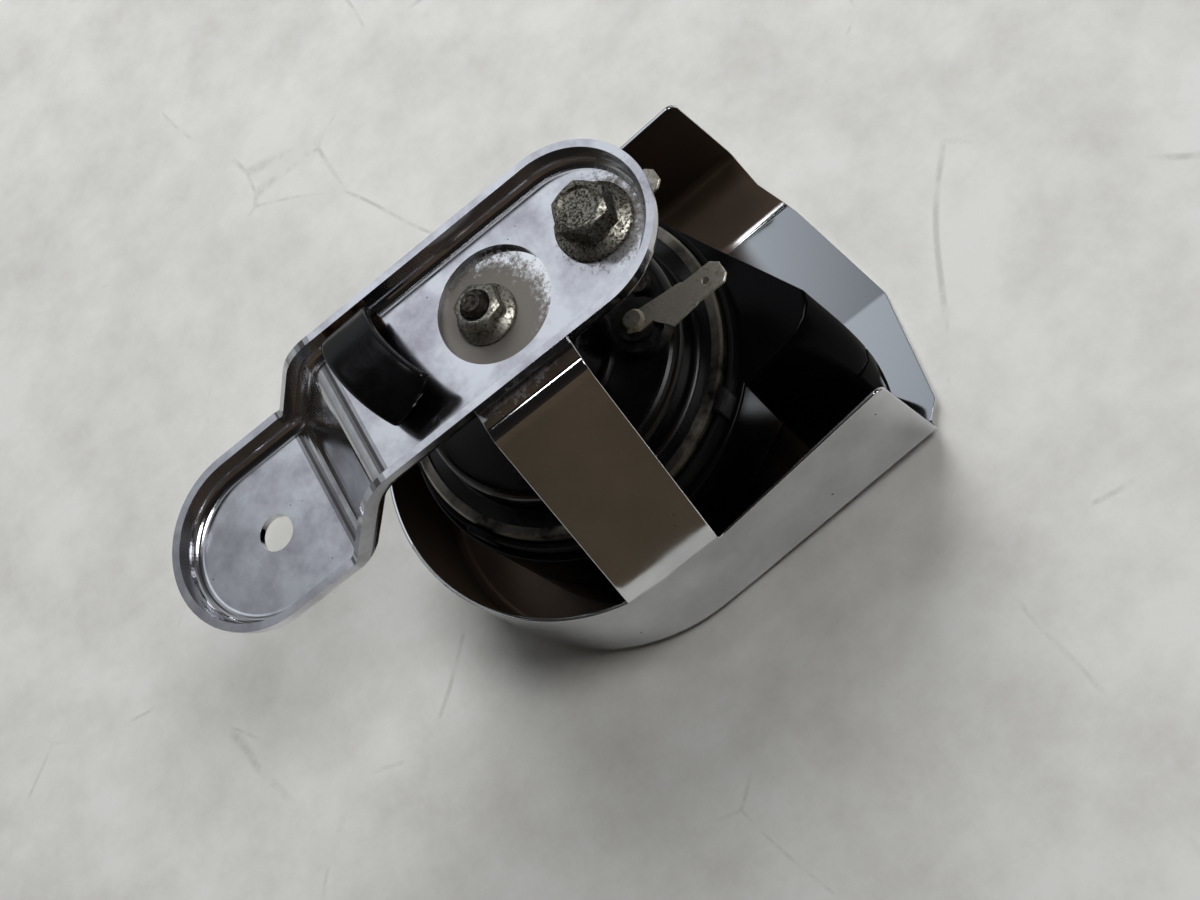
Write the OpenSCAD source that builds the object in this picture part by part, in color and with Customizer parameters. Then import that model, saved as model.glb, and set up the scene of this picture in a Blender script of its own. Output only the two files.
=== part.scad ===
// Motorcycle horn in a chromed cover, on a stamped tray bracket.
// The origin is the centre of the bracket's mounting hole, on the tab's upper face.
// +X runs along the bracket towards the cover's mouth, +Z is the horn's rear.
// Lengths are millimetres and angles are degrees.

/* [Bracket] */
// Thickness of the bracket's sheet
bracket_t = 2.0; // [1.6:0.1:2.4]
// Width over the rims of the main plate
plate_w = 43.2; // [41:0.2:46]
// Width over the rims of the low tab
tab_w = 46.6; // [44:0.1:50]
// Height of the rim over the floor
rim_h = 5.2; // [4:0.1:6]
// Lean of the rim away from upright
rim_lean = 10; // [8:1:20]
// Inner radius of the fold between floor and rim
rim_fold_r = 1.6; // [1.2:0.1:2.2]
// Height of the main plate over the tab
step_h = 17; // [15:0.5:19]
// Slope of the step between tab and plate
step_angle = 50; // [45:1:55]
// Radius of the step's two bends
step_bend_r = 8; // [7.5:0.1:8.5]
// Diameter of the mounting hole in the tab
mount_hole_d = 9; // [8:0.1:10.5]
// Distance from the mounting hole to the horn's stud
hole_to_stud = 73; // [71:0.5:78]
// Diameter of the round window over the stud's nut
window_d = 28; // [25:0.5:29]
// Distance of the window's centre ahead of the stud
window_ahead = 2.9; // [1:0.1:4]
// Distance from the stud to the bracket's bolt
stud_to_bolt = 31.3; // [30.5:0.1:34]
// Distance of the bolt past the centre of the plate's round end
bolt_past_end = 6.3; // [4.5:0.1:7]
// Distance of the mounting hole ahead of the centre of the tab's round end
hole_past_end = 2.5; // [0:0.1:3]

/* [Bracket bolt] */
// Diameter of the bolt
bolt_d = 8; // [7:0.1:8.5]
// Radial room round the bolt's shank
bolt_room = 0.4; // [0.3:0.1:0.6]
// Diameter of the bolt's flange
bolt_flange_d = 18.6; // [16:0.2:20]
// Height of the bolt's head with its flange
bolt_head_h = 9; // [7.5:0.1:10]
// Width across flats of the bolt's head
bolt_hex = 12; // [11:0.5:13]
// Length of the bolt below its flange
bolt_l = 14; // [13:0.5:18]
// Thickness of the weld nut
weld_nut_h = 6.5; // [5:0.1:8]
// Width across flats of the weld nut
weld_nut_hex = 14; // [13:0.5:17]

/* [Wire clip] */
// Width of the clip's steel strip
clip_w = 12; // [10:0.5:12.5]
// Thickness of the clip's steel strip
clip_t = 1.0; // [0.8:0.1:1.2]
// Wall of the sleeve on the clip
sleeve_t = 0.9; // [0.7:0.1:1.1]
// Room between strip and sleeve
sleeve_room = 0.1; // [0.05:0.05:0.2]
// Height of the arch over the bracket's floor
clip_arch = 7.5; // [5.5:0.1:9]
// Distance of the clip's foot behind the stud
clip_back = 27.3; // [25:0.1:28.5]

/* [Cover] */
// Thickness of the cover's sheet
cover_t = 1.0; // [0.8:0.1:1.2]
// Outer radius of the cover's round end
cover_r = 51.4; // [50.8:0.1:55]
// Distance of the round end's centre behind the stud
cover_back = 7.7; // [6:0.1:9]
// Angle by which each side wall closes in towards the mouth
cover_taper = 2.4; // [1.5:0.1:3]
// Depth from the bridge's top to the cover's front face
cover_depth = 87.3; // [87:0.1:92]
// Depth from the bridge's top to the rim of the round end
rim_depth = 54.3; // [52:0.1:57]
// Depth from the bridge's top to the mouth's rear corners
mouth_rim_depth = 47.5; // [46:0.1:50]
// Distance from the stud to the mouth's rear corners
mouth_rear_x = 57.4; // [57:0.1:62]
// Distance from the stud to the mouth's front corners
mouth_front_x = 60.4; // [60:0.1:64]
// Reach of the front's lip beyond the mouth's front corners
lip_reach = 9.5; // [5:0.1:11]
// Distance of the lip's peak to the near side of the middle
lip_peak_y = 9.2; // [4:0.1:12]
// Outer radius of the fold between walls and front
cover_fold_r = 3.5; // [2.5:0.1:4.5]

/* [Cover bridge] */
// Width of the bridge's strap
strap_w = 26; // [22:0.5:28]
// Shift of the strap towards the mouth from its foot to its top
strap_skew = 5.7; // [4:0.1:7]
// Slope of the strap below level
strap_angle = 64.5; // [62:0.1:65]
// Outer radius of the strap's upper bend
strap_bend_r = 8; // [6:0.5:9]
// Outer radius of the strap's lower bend
strap_foot_r = 16; // [10:0.5:18]
// Depth at which the strap has turned into the wall
strap_foot_depth = 57.5; // [56:0.1:58]
// Half width of the bridge's tongue
tongue_half_w = 15.6; // [14.6:0.1:16]
// Radius of the tongue's round end
tongue_end_r = 13; // [10:0.5:14]

/* [Stud] */
// Diameter of the stud
stud_d = 6; // [5:0.1:6.5]
// Radial room round the stud
stud_room = 0.3; // [0.2:0.05:0.5]
// Height of the stud over the bridge
stud_h = 8.3; // [7.5:0.1:9.5]
// Diameter of the stud's shoulder under the bridge
shoulder_d = 14; // [12:0.5:16]
// Diameter of the flange of the stud's nut
nut_flange_d = 14.4; // [13:0.2:16]
// Width across flats of the stud's nut
nut_hex = 10; // [9:0.5:11]
// Height of the stud's nut
nut_h = 6.2; // [5:0.1:6.8]

/* [Horn body] */
// Depth from the bridge's top to the top of the magnet cup
cup_depth = 10; // [9:0.1:11]
// Depth from the bridge's top to the housing's ledge
ledge_depth = 27; // [26.5:0.1:28]
// Depth from the bridge's top to the crimp ring
crimp_depth = 35.4; // [35.2:0.1:37]
// Thickness of the housing's sheet
housing_t = 1.2; // [1:0.1:1.4]
// Outer radius of the magnet cup
cup_r = 17; // [16:0.1:17.6]
// From the outside of the cover in to the crimp ring
crimp_room = 10.4; // [10.2:0.1:11.4]
// From the crimp ring in to the edge of the housing's ledge
ledge_step = 7; // [6:0.1:8]
// Thickness of the crimp ring's sheet
crimp_t = 0.9; // [0.7:0.1:1]
// Width of the crimp ring's folded lip
crimp_lip = 2.6; // [2:0.1:3]
// Thickness of each diaphragm gasket
gasket_t = 0.6; // [0.4:0.1:0.8]
// Thickness of the diaphragm
diaphragm_t = 0.4; // [0.3:0.05:0.5]

/* [Terminals] */
// Distance of each terminal's rivet ahead of the stud
terminal_x = 23.3; // [22.5:0.1:24]
// Distance of each terminal's rivet from the middle
terminal_y = 11.9; // [11.2:0.1:12.5]
// Splay of each blade away from the middle
terminal_splay = 5.5; // [3:0.5:8]
// Width of the spade blades
blade_w = 6.35; // [6:0.05:6.6]
// Thickness of the spade blades
blade_t = 0.8; // [0.7:0.05:1]
// Length from the rivet to the blade's tip
blade_l = 23.4; // [22:0.1:25]
// Radius of the plastic boss under each terminal
boss_r = 6.6; // [6:0.1:7]
// Height of the boss over the ledge
boss_h = 6.4; // [5.6:0.1:7]
// Radius of the terminal's rivet
rivet_r = 1.6; // [1.2:0.1:1.9]

/* [Magnet and contacts] */
// Radius of the fixed pole core
core_r = 5; // [4.5:0.1:5.4]
// Outer radius of the coil's flanges
coil_r = 14.6; // [14:0.1:15]
// Length of the coil between its flanges
coil_l = 11; // [10.5:0.1:12]
// Travel of the armature towards the core
pull_in = 0.7; // [0.5:0.05:0.8]
// Travel of the armature away from the core on its rebound
rebound = 0.3; // [0.2:0.05:0.4]
// Radius of the armature
armature_r = 7; // [6.5:0.1:7.4]
// Diameter of the tuning screw
tuning_d = 4; // [3:0.1:4.5]

/* [Trumpet] */
// Wall of the trumpet's plastic
trumpet_t = 2.0; // [1.6:0.1:2.2]
// From the outside of the cover in to the trumpet's round body
trumpet_gap = 7; // [6.8:0.1:8.4]
// From the top of the crimp ring down to the trumpet's rear face
trumpet_drop = 7.2; // [7:0.1:8]
// Room between the trumpet and the cover's front
trumpet_room = 1.0; // [0.6:0.1:1.4]
// Distance from the stud to the near end of the trumpet's mouth
mouth_near_x = 56.4; // [55:0.1:57.2]
// Distance of the mouth's near end from the middle
mouth_near_y = 19; // [17:0.1:21]
// Angle by which the trumpet's mouth turns to the far side
mouth_turn = 24.4; // [22:0.1:27]
// Radius of the hole in which the trumpet starts
throat_r = 7; // [5:0.1:8]

/* [Hidden] */
$fn = 96;

// Points on an arc, from angle a0 to a1, in n steps
function arc(c, r, a0, a1, n = 6) =
    [for (i = [0:n]) c + r * [cos(a0 + (a1 - a0) * i / n), sin(a0 + (a1 - a0) * i / n)]];
function flip_y(pts) = [for (i = [len(pts) - 1:-1:0]) [-pts[i][0], pts[i][1]]];

// Places and heights in the bracket's frame
deck_z = step_h - bracket_t;
window_x = hole_to_stud + window_ahead;
bolt_x = hole_to_stud + stud_to_bolt;
plate_end_x = bolt_x - bolt_past_end;

// Fold line and rim of the tray section, for a half width w
wall_angle = 90 - rim_lean;
fold_out_r = rim_fold_r + bracket_t;
function fold_y(w) = w - fold_out_r * sin(wall_angle)
    - (rim_h - rim_fold_r + fold_out_r * cos(wall_angle)) / tan(wall_angle);
function rim_in_y(w) = w - bracket_t / sin(wall_angle);
function thousandths(pts) = [for (p = pts) [for (v = p) round(v * 1000) / 1000]];
function half_section(w) = thousandths(concat(
    arc([fold_y(w), rim_fold_r], rim_fold_r, -90, wall_angle - 90, 5),
    [[rim_in_y(w), rim_h], [w, rim_h]],
    arc([fold_y(w), rim_fold_r], fold_out_r, wall_angle - 90, -90, 5)));
function tray_section(w) = concat(half_section(w), flip_y(half_section(w)));

// Path of the tray's floor through the lower bend, the slope and the upper bend
step_x = 15;
bend_steps = 8;
slope_l = (step_h - 2 * step_bend_r * (1 - cos(step_angle))) / sin(step_angle);
step_run = 2 * step_bend_r * sin(step_angle) + slope_l * cos(step_angle);
plate_x = step_x + step_run;
step_path = concat(
    [for (i = [0:bend_steps]) let (a = step_angle * i / bend_steps)
        [step_x + step_bend_r * sin(a), step_bend_r * (1 - cos(a)), a]],
    [for (i = [bend_steps:-1:0]) let (a = step_angle * i / bend_steps)
        [plate_x - step_bend_r * sin(a), step_h - step_bend_r * (1 - cos(a)), a]]);
function path_half_w(x) = let (f = min(1, max(0, (x - step_x) / step_run)))
    (tab_w + (plate_w - tab_w) * f) / 2;

// A tube of quads through rings of points, closed at both ends
module skin(rings) {
    n = len(rings[0]);
    m = len(rings);
    points = [for (ring = rings) for (p = ring) p];
    sides = [for (j = [0:m - 2]) for (i = [0:n - 1])
        for (tri = [[0, 1, n], [1, n + 1, n]])
            [for (k = tri) let (step = k % n, row = floor(k / n))
                (j + row) * n + (i + step) % n]];
    caps = [[for (i = [n - 1:-1:0]) i], [for (i = [0:n - 1]) (m - 1) * n + i]];
    polyhedron(points = points, faces = concat(sides, caps), convexity = 6);
}

module tray_run(l, w) {
    rotate([90, 0, 90]) linear_extrude(height = l) polygon(tray_section(w));
}

module tray_step() {
    skin([for (p = step_path) [for (s = tray_section(path_half_w(p[0])))
        [p[0] - s[1] * sin(p[2]), s[0], p[1] + s[1] * cos(p[2])]]]);
}

module tray_end(w) {
    rotate_extrude(angle = 180)
        polygon(concat([[0, 0]], half_section(w), [[0, -bracket_t]]));
}

module mounting_bracket() {
    color("gainsboro")
    difference() {
        union() {
            tray_step();
            translate([plate_x, 0, step_h]) tray_run(plate_end_x - plate_x, plate_w / 2);
            translate([plate_end_x, 0, step_h]) rotate([0, 0, -90]) tray_end(plate_w / 2);
            translate([-hole_past_end, 0, 0]) {
                tray_run(step_x + hole_past_end, tab_w / 2);
                rotate([0, 0, 90]) tray_end(tab_w / 2);
            }
        }
        translate([0, 0, -bracket_t - 1])
            cylinder(d = mount_hole_d, h = bracket_t + 2);
        translate([window_x, 0, deck_z - 1])
            cylinder(d = window_d, h = bracket_t + 2);
        translate([bolt_x, 0, deck_z - 1])
            cylinder(r = bolt_d / 2 + bolt_room, h = bracket_t + 2);
    }
}

// The rest is drawn round the stud's axis, with its zero at the bracket's underside
module at_stud() {
    translate([hole_to_stud, 0, deck_z]) children();
}

// A hexagon head: flats across, height, and a turned chamfer on top
module hex_head(flats, h) {
    corner_r = flats / 2 / cos(30);
    intersection() {
        cylinder(r = corner_r, h = h, $fn = 6);
        rotate_extrude()
            polygon([[0, 0], [corner_r + 1, 0], [corner_r + 1, h - 1.6],
                     [flats / 2 - 0.6, h], [0, h]]);
    }
}

// A flange under a hexagon, thin at its edge
module hex_flange(flange_r, flats, edge) {
    rotate_extrude()
        polygon([[0, 0], [flange_r - 0.3, 0], [flange_r, 0.3], [flange_r, edge],
                 [flats / 2, edge + 1.2], [0, edge + 1.2]]);
}

bolt_edge = 1.3;
module bracket_bolt() {
    color("darkkhaki")
    at_stud() translate([stud_to_bolt, 0, bracket_t]) {
        difference() {
            union() {
                hex_flange(bolt_flange_d / 2, bolt_hex, bolt_edge);
                rotate([0, 0, 12]) hex_head(bolt_hex, bolt_head_h);
                translate([0, 0, -bolt_l]) cylinder(d = bolt_d, h = bolt_l);
            }
            translate([0, 0, bolt_head_h - 0.5]) cylinder(r = bolt_hex / 2 - 2.2, h = 1);
        }
    }
}

thread_room = 0.05;
module bracket_weld_nut() {
    color("gray")
    at_stud() translate([stud_to_bolt, 0, -cover_t - weld_nut_h])
        difference() {
            cylinder(r = weld_nut_hex / 2 / cos(30), h = weld_nut_h, $fn = 6);
            translate([0, 0, -1])
                cylinder(r = bolt_d / 2 + thread_room, h = weld_nut_h + 2);
        }
}

// The wire clip: a strip that springs from the far rim and arches over the floor
clip_foot_y = rim_in_y(plate_w / 2) - (rim_h - 2.4) / tan(wall_angle) - 0.5;
clip_ctrl = [[-clip_back, clip_foot_y, 2.4], [-clip_back - 1.5, clip_foot_y - 5, clip_arch + 2.5],
             [-clip_back + 0.5, -3, clip_arch + 2.5], [-clip_back + 5.5, -11.5, clip_arch - 2]];
clip_turn = 11;
clip_rise = 0.18;
clip_steps = 16;
function bezier(c, t) = pow(1 - t, 3) * c[0] + 3 * t * pow(1 - t, 2) * c[1]
    + 3 * t * t * (1 - t) * c[2] + pow(t, 3) * c[3];
function bezier_dir(c, t) = pow(1 - t, 2) * (c[1] - c[0])
    + 2 * t * (1 - t) * (c[2] - c[1]) + t * t * (c[3] - c[2]);
function unit(v) = v / norm(v);
function clip_ring(t, half_w, half_t, cut) =
    let (o = bezier(clip_ctrl, t),
         u = unit([cos(clip_turn * t), sin(clip_turn * t), clip_rise * t]),
         n = unit(cross(bezier_dir(clip_ctrl, t), u)))
    [for (p = [[1, 1 - cut], [1, cut - 1], [1 - cut * half_t / half_w, -1],
               [cut * half_t / half_w - 1, -1], [-1, cut - 1], [-1, 1 - cut],
               [cut * half_t / half_w - 1, 1], [1 - cut * half_t / half_w, 1]])
        o + u * p[0] * half_w + n * p[1] * half_t];

module clip_run(t0, t1, half_w, half_t, cut) {
    at_stud() translate([0, 0, bracket_t])
        skin([for (i = [0:clip_steps])
            clip_ring(t0 + (t1 - t0) * i / clip_steps, half_w, half_t, cut)]);
}

module wire_clip() {
    color("saddlebrown")
    clip_run(0, 0.96, clip_w / 2, clip_t / 2, 0.3);
}

module wire_clip_sleeve() {
    gap = sleeve_room;
    wall = sleeve_room + sleeve_t;
    color("black")
    difference() {
        clip_run(0.07, 1, clip_w / 2 + wall, clip_t / 2 + wall, 0.5);
        clip_run(0.03, 1.04, clip_w / 2 + gap, clip_t / 2 + gap, 0.25);
    }
}

// The cover: round end, two walls that close in, a flat front and a bridge
front_z = -cover_depth;
flat_r = cover_r - cover_fold_r;
wall_l = mouth_front_x + cover_back + 2;
fold_facets = 6;
lap = 0.5;

// Section of the wall, from a short leg on the front out through the fold; side is 1 or -1
module wall_section(side) {
    fold_c = [flat_r, front_z + cover_fold_r];
    half = concat(
        [[flat_r - 2 * lap, front_z]], arc(fold_c, cover_fold_r, -90, 0, fold_facets),
        [[cover_r, -mouth_rim_depth + 4], [cover_r - cover_t, -mouth_rim_depth + 4]],
        arc(fold_c, cover_fold_r - cover_t, 0, -90, fold_facets),
        [[flat_r - 2 * lap, front_z + cover_t]]);
    polygon(side > 0 ? half : flip_y(half));
}

module walls() {
    translate([-cover_back, 0, 0]) {
        rotate([0, 0, 90]) rotate_extrude(angle = 180) wall_section(1);
        for (side = [-1, 1])
            multmatrix([[1, 0, 0, 0], [-side * tan(cover_taper), 1, 0, 0], [0, 0, 1, 0]])
                rotate([90, 0, 90]) linear_extrude(height = wall_l) wall_section(side);
    }
}

// Half width of the plan at x, drawn in by d from the outside of the walls
function plan_y(x, d) = cover_r - d - (x + cover_back) * tan(cover_taper);
module front_plate() {
    inset = cover_fold_r + lap;
    corner_y = plan_y(mouth_front_x, inset);
    translate([-cover_back, 0, front_z]) rotate([0, 0, 90])
        rotate_extrude(angle = 180) square([cover_r - inset, cover_t]);
    translate([0, 0, front_z]) linear_extrude(height = cover_t)
        polygon([[-cover_back, cover_r - inset], [mouth_front_x - 1, corner_y],
                 [mouth_front_x - 0.4, corner_y + lap],
                 [mouth_front_x + 0.4, corner_y * 0.83],
                 [mouth_front_x + lip_reach * 0.43, corner_y * 0.57],
                 [mouth_front_x + lip_reach, -lip_peak_y],
                 [mouth_front_x + lip_reach * 0.4, -corner_y * 0.92],
                 [mouth_front_x, -corner_y - lap], [mouth_front_x - 1, -corner_y],
                 [-cover_back, inset - cover_r]]);
}

// Everything above the rim: level at the round end, then rising to the mouth
strap_foot_x = -cover_back - 11.6;
strap_front_x = strap_foot_x + strap_w + 0.3;
rim_slope = (rim_depth - mouth_rim_depth) / (mouth_rear_x - strap_front_x);
module above_rim() {
    far_x = 150;
    rotate([90, 0, 0]) linear_extrude(height = 200, center = true)
        polygon([[-far_x, -rim_depth], [strap_front_x, -rim_depth],
                 [far_x, (far_x - strap_front_x) * rim_slope - rim_depth],
                 [far_x, far_x], [-far_x, far_x]]);
}

module beyond_mouth() {
    lean = atan2(mouth_front_x - mouth_rear_x, cover_depth - mouth_rim_depth);
    translate([mouth_rear_x, 0, -mouth_rim_depth]) rotate([0, -lean, 0])
        translate([0, -100, -100]) cube([60, 200, 200]);
}

// The space under the bridge's face, drawn in by d: level in the middle, and to each
// side a bend, a steep arm and a second bend into the wall
strap_wall_y = cover_r + 0.4;
strap_l = (strap_foot_depth - strap_bend_r * (1 - cos(strap_angle))
    - strap_foot_r * cos(strap_angle)) / sin(strap_angle);
deck_half_w = strap_wall_y - strap_foot_r * (1 - sin(strap_angle))
    - strap_l * cos(strap_angle) - strap_bend_r * sin(strap_angle);
bend_facets = 8;
module under_bridge(d) {
    half = concat(
        arc([deck_half_w, -strap_bend_r], strap_bend_r - d, 90, 90 - strap_angle, bend_facets),
        arc([strap_wall_y - strap_foot_r, -strap_foot_depth], strap_foot_r - d,
            90 - strap_angle, 0, 4),
        [[strap_wall_y - d, -strap_foot_depth - 10]]);
    polygon(concat(half, flip_y(half)));
}

// The bridge's feet go down inside the walls' sheet, a little thinner than it
foot_inset = 0.15;
module bridge_block(d, inset, x0, x1) {
    plan_l = 40;
    intersection() {
        translate([x0, 0, 0]) rotate([90, 0, 90])
            linear_extrude(height = x1 - x0) under_bridge(d);
        union() {
            translate([-cover_back, 0, -100]) rotate([0, 0, 90])
                rotate_extrude(angle = 180) square([cover_r - inset, 120]);
            translate([0, 0, -100]) linear_extrude(height = 120)
                polygon([[-cover_back, cover_r - inset], [plan_l, plan_y(plan_l, inset)],
                         [plan_l, -plan_y(plan_l, inset)], [-cover_back, inset - cover_r]]);
        }
    }
}

module bridge() {
    foot_z = -rim_depth - 2;
    intersection() {
        difference() {
            bridge_block(0, foot_inset, -50, 35);
            bridge_block(cover_t, cover_t - foot_inset, -60, 45);
        }
        rotate([90, 0, 0]) linear_extrude(height = 200, center = true)
            polygon([[strap_foot_x, foot_z], [strap_foot_x + strap_w, foot_z],
                     [strap_foot_x + strap_w, -rim_depth],
                     [strap_foot_x + strap_w + strap_skew, 0],
                     [strap_foot_x + strap_w + strap_skew, 5],
                     [strap_foot_x + strap_skew, 5], [strap_foot_x + strap_skew, 0],
                     [strap_foot_x, -rim_depth]]);
    }
}

module horn_cover() {
    color("silver")
    at_stud() difference() {
        union() {
            difference() {
                walls();
                above_rim();
                beyond_mouth();
            }
            front_plate();
            bridge();
            translate([0, -tongue_half_w, -cover_t])
                cube([stud_to_bolt, 2 * tongue_half_w, cover_t]);
            translate([stud_to_bolt, 0, -cover_t]) cylinder(r = tongue_end_r, h = cover_t);
        }
        translate([0, 0, -cover_t - 1])
            cylinder(r = stud_d / 2 + stud_room, h = cover_t + 2);
        translate([stud_to_bolt, 0, -cover_t - 1])
            cylinder(r = bolt_d / 2 + bolt_room, h = cover_t + 2);
    }
}

// The stud: thread, shoulder, and a tail that is pressed into the pole core
tail_r = 3;
tail_l = 6;
module horn_stud() {
    color("dimgray")
    at_stud() {
        translate([0, 0, -cover_t]) cylinder(d = stud_d, h = stud_h + cover_t - 0.7);
        translate([0, 0, stud_h - 0.7]) cylinder(d1 = stud_d, d2 = stud_d - 1.4, h = 0.7);
        translate([0, 0, -cup_depth]) cylinder(d = shoulder_d, h = cup_depth - cover_t);
        translate([0, 0, -cup_depth - tail_l]) cylinder(r = tail_r, h = tail_l);
    }
}

nut_edge = 1.1;
module stud_nut() {
    color("darkkhaki")
    at_stud() difference() {
        union() {
            hex_flange(nut_flange_d / 2, nut_hex, nut_edge);
            rotate([0, 0, 22]) hex_head(nut_hex, nut_h);
        }
        translate([0, 0, -1]) cylinder(r = stud_d / 2 + thread_room, h = nut_h + 2);
        translate([0, 0, nut_h - 0.8])
            cylinder(r1 = stud_d / 2, r2 = stud_d / 2 + 0.9, h = 0.9);
    }
}

// Radii and levels of the stack that the crimp ring holds, from the top down
crimp_r = cover_r - crimp_room;
ledge_r = crimp_r - ledge_step;
flange_z = -crimp_depth - crimp_t;
flange_low_z = flange_z - housing_t;
diaphragm_z = flange_low_z - gasket_t;
tone_z = diaphragm_z - diaphragm_t;
lip_z = tone_z - gasket_t;
crimp_low_z = lip_z - crimp_t;
stack_r = crimp_r - crimp_t - 0.1;
ledge_z = -ledge_depth;

// Outer line of the housing, from its middle out to the clamped flange; d is a
// distance inwards, so that the same line gives the sheet's inner side
function housing_line(d) = concat(
    arc([cup_r - 2.5, -cup_depth - 2.5], 2.5 - d, 90, 0),
    arc([cup_r + 2, ledge_z + 2], 2 + d, 180, 270),
    arc([ledge_r - 3, ledge_z - 3], 3 - d, 90, 0),
    arc([ledge_r + 1.5, flange_z + 1.5], 1.5 + d, 180, 270),
    [[stack_r, flange_z - d]]);
module housing_profile() {
    inner = housing_line(housing_t);
    polygon(concat([[tail_r + 0.1, -cup_depth]], housing_line(0),
        [for (i = [len(inner) - 1:-1:0]) inner[i]],
        [[tail_r + 0.1, -cup_depth - housing_t]]));
}

// Where the tuning screw, its cap and the contacts stand on the ledge
tuning_x = 28.2;
tuning_y = -1;
tuning_room = 0.1;
rivet_room = 0.1;
module ledge_holes(room) {
    for (side = [-1, 1])
        translate([terminal_x, side * terminal_y, ledge_z - 6])
            cylinder(r = rivet_r + rivet_room, h = 8);
    translate([tuning_x, tuning_y, ledge_z - 6]) cylinder(r = tuning_d / 2 + room, h = 8);
}

module horn_housing() {
    color("black")
    at_stud() difference() {
        rotate_extrude() housing_profile();
        ledge_holes(tuning_room);
    }
}

module crimp_ring() {
    color("lightslategray")
    at_stud() rotate_extrude()
        polygon([[crimp_r - crimp_lip, -crimp_depth - crimp_t],
                 [crimp_r - crimp_lip, -crimp_depth], [crimp_r - 0.6, -crimp_depth],
                 [crimp_r, -crimp_depth - 0.6], [crimp_r, crimp_low_z + 0.6],
                 [crimp_r - 0.6, crimp_low_z], [crimp_r - crimp_lip, crimp_low_z],
                 [crimp_r - crimp_lip, lip_z], [crimp_r - crimp_t, lip_z],
                 [crimp_r - crimp_t, -crimp_depth - crimp_t]]);
}

module seal_ring(z) {
    at_stud() translate([0, 0, z]) difference() {
        cylinder(r = stack_r, h = gasket_t);
        translate([0, 0, -1]) cylinder(r = stack_r - 3.6, h = gasket_t + 2);
    }
}

module housing_gasket() {
    color("sienna") seal_ring(diaphragm_z);
}

module tone_gasket() {
    color("sienna") seal_ring(lip_z);
}

stem_r = 3;
module diaphragm() {
    color("lightgray")
    at_stud() translate([0, 0, tone_z]) difference() {
        cylinder(r = stack_r, h = diaphragm_t);
        translate([0, 0, -1]) cylinder(r = stem_r + thread_room, h = diaphragm_t + 2);
    }
}

// The pole core hangs in the cup; the armature stands under it on the diaphragm
core_l = 18.8;
core_low_z = -cup_depth - housing_t - core_l;
pole_gap = pull_in + 0.2;
armature_top_z = core_low_z - pole_gap;
armature_l = 3;
pusher_r = armature_r + 2.6;
pusher_t = 1.7;
pusher_z = armature_top_z - armature_l;
module pole_core() {
    color("slategray")
    at_stud() difference() {
        translate([0, 0, core_low_z]) cylinder(r = core_r, h = core_l);
        translate([0, 0, -cup_depth - tail_l])
            cylinder(r = tail_r + thread_room, h = tail_l);
    }
}

module armature() {
    color("slategray")
    at_stud() {
        translate([0, 0, pusher_z]) cylinder(r = armature_r, h = armature_l);
        translate([0, 0, pusher_z]) cylinder(r = pusher_r, h = pusher_t);
        translate([0, 0, diaphragm_z]) cylinder(r = 5, h = pusher_z - diaphragm_z);
        translate([0, 0, tone_z - 3.1]) cylinder(r = stem_r, h = diaphragm_z - tone_z + 3.1);
    }
}

module armature_nut() {
    nut_l = 2.5;
    color("darkgoldenrod")
    at_stud() translate([0, 0, tone_z - nut_l]) difference() {
        cylinder(r = 4.6, h = nut_l, $fn = 6);
        translate([0, 0, -1]) cylinder(r = stem_r + thread_room, h = nut_l + 2);
    }
}

// The coil sits on the core, with a flange at each end of its bobbin
bobbin_t = 1.1;
coil_top_z = -cup_depth - housing_t - 0.5;
module coil_bobbin() {
    color("ivory")
    at_stud() difference() {
        union() {
            translate([0, 0, coil_top_z - bobbin_t]) cylinder(r = coil_r, h = bobbin_t);
            translate([0, 0, coil_top_z - 2 * bobbin_t - coil_l])
                cylinder(r = coil_r, h = bobbin_t);
            translate([0, 0, coil_top_z - 2 * bobbin_t - coil_l])
                cylinder(r = core_r + bobbin_t, h = coil_l + 2 * bobbin_t);
        }
        translate([0, 0, coil_top_z - 2 * bobbin_t - coil_l - 1])
            cylinder(r = core_r + 0.1, h = coil_l + 2 * bobbin_t + 2);
    }
}

module coil_winding() {
    color("chocolate")
    at_stud() translate([0, 0, coil_top_z - bobbin_t - coil_l + 0.1]) difference() {
        cylinder(r = coil_r - 0.8, h = coil_l - 0.2);
        translate([0, 0, -1]) cylinder(r = core_r + bobbin_t + 0.1, h = coil_l + 2);
    }
}

// The breaker: a post under the ledge with two leaves; the armature lifts the upper one
post_x = 21.5;
leaf_t = 0.4;
leaf_w = 5;
leaf_gap = 0.3;
upper_z = pusher_z + pusher_t + leaf_gap;
contact_x = 15.4;
contact_r = 1.3;
contact_h = 0.6;
contact_gap = rebound * 2 / 3;
lower_z = upper_z - leaf_t - 2 * contact_h - contact_gap;
upper_tip_x = armature_r + 0.4;
post_r = 1.6;
post_low_z = lower_z - 1.6;
module contact_post() {
    color("peru")
    at_stud() translate([post_x, tuning_y, 0]) {
        translate([0, 0, upper_z + leaf_t + leaf_gap])
            cylinder(r = 3, h = ledge_z - housing_t - upper_z - leaf_t - leaf_gap);
        translate([0, 0, post_low_z]) cylinder(r = post_r, h = upper_z - post_low_z + 1);
        translate([0, 0, lower_z + leaf_t]) cylinder(r = 2.4, h = 0.9);
        translate([0, 0, post_low_z - 1]) cylinder(r = 2.6, h = 1.6);
    }
}

// One leaf from its inner tip to its outer end
module leaf(tip, end, z) {
    translate([tip, tuning_y - leaf_w / 2, z]) cube([end - tip, leaf_w, leaf_t]);
}

module fixed_contact_arm() {
    color("gold")
    at_stud() difference() {
        union() {
            leaf(contact_x - 2 * contact_r, tuning_x + tuning_d * 0.6, lower_z);
            translate([contact_x, tuning_y, lower_z + leaf_t])
                cylinder(r = contact_r, h = contact_h);
        }
        translate([post_x, tuning_y, lower_z - 1]) cylinder(r = post_r + 0.05, h = 3);
    }
}

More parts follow.
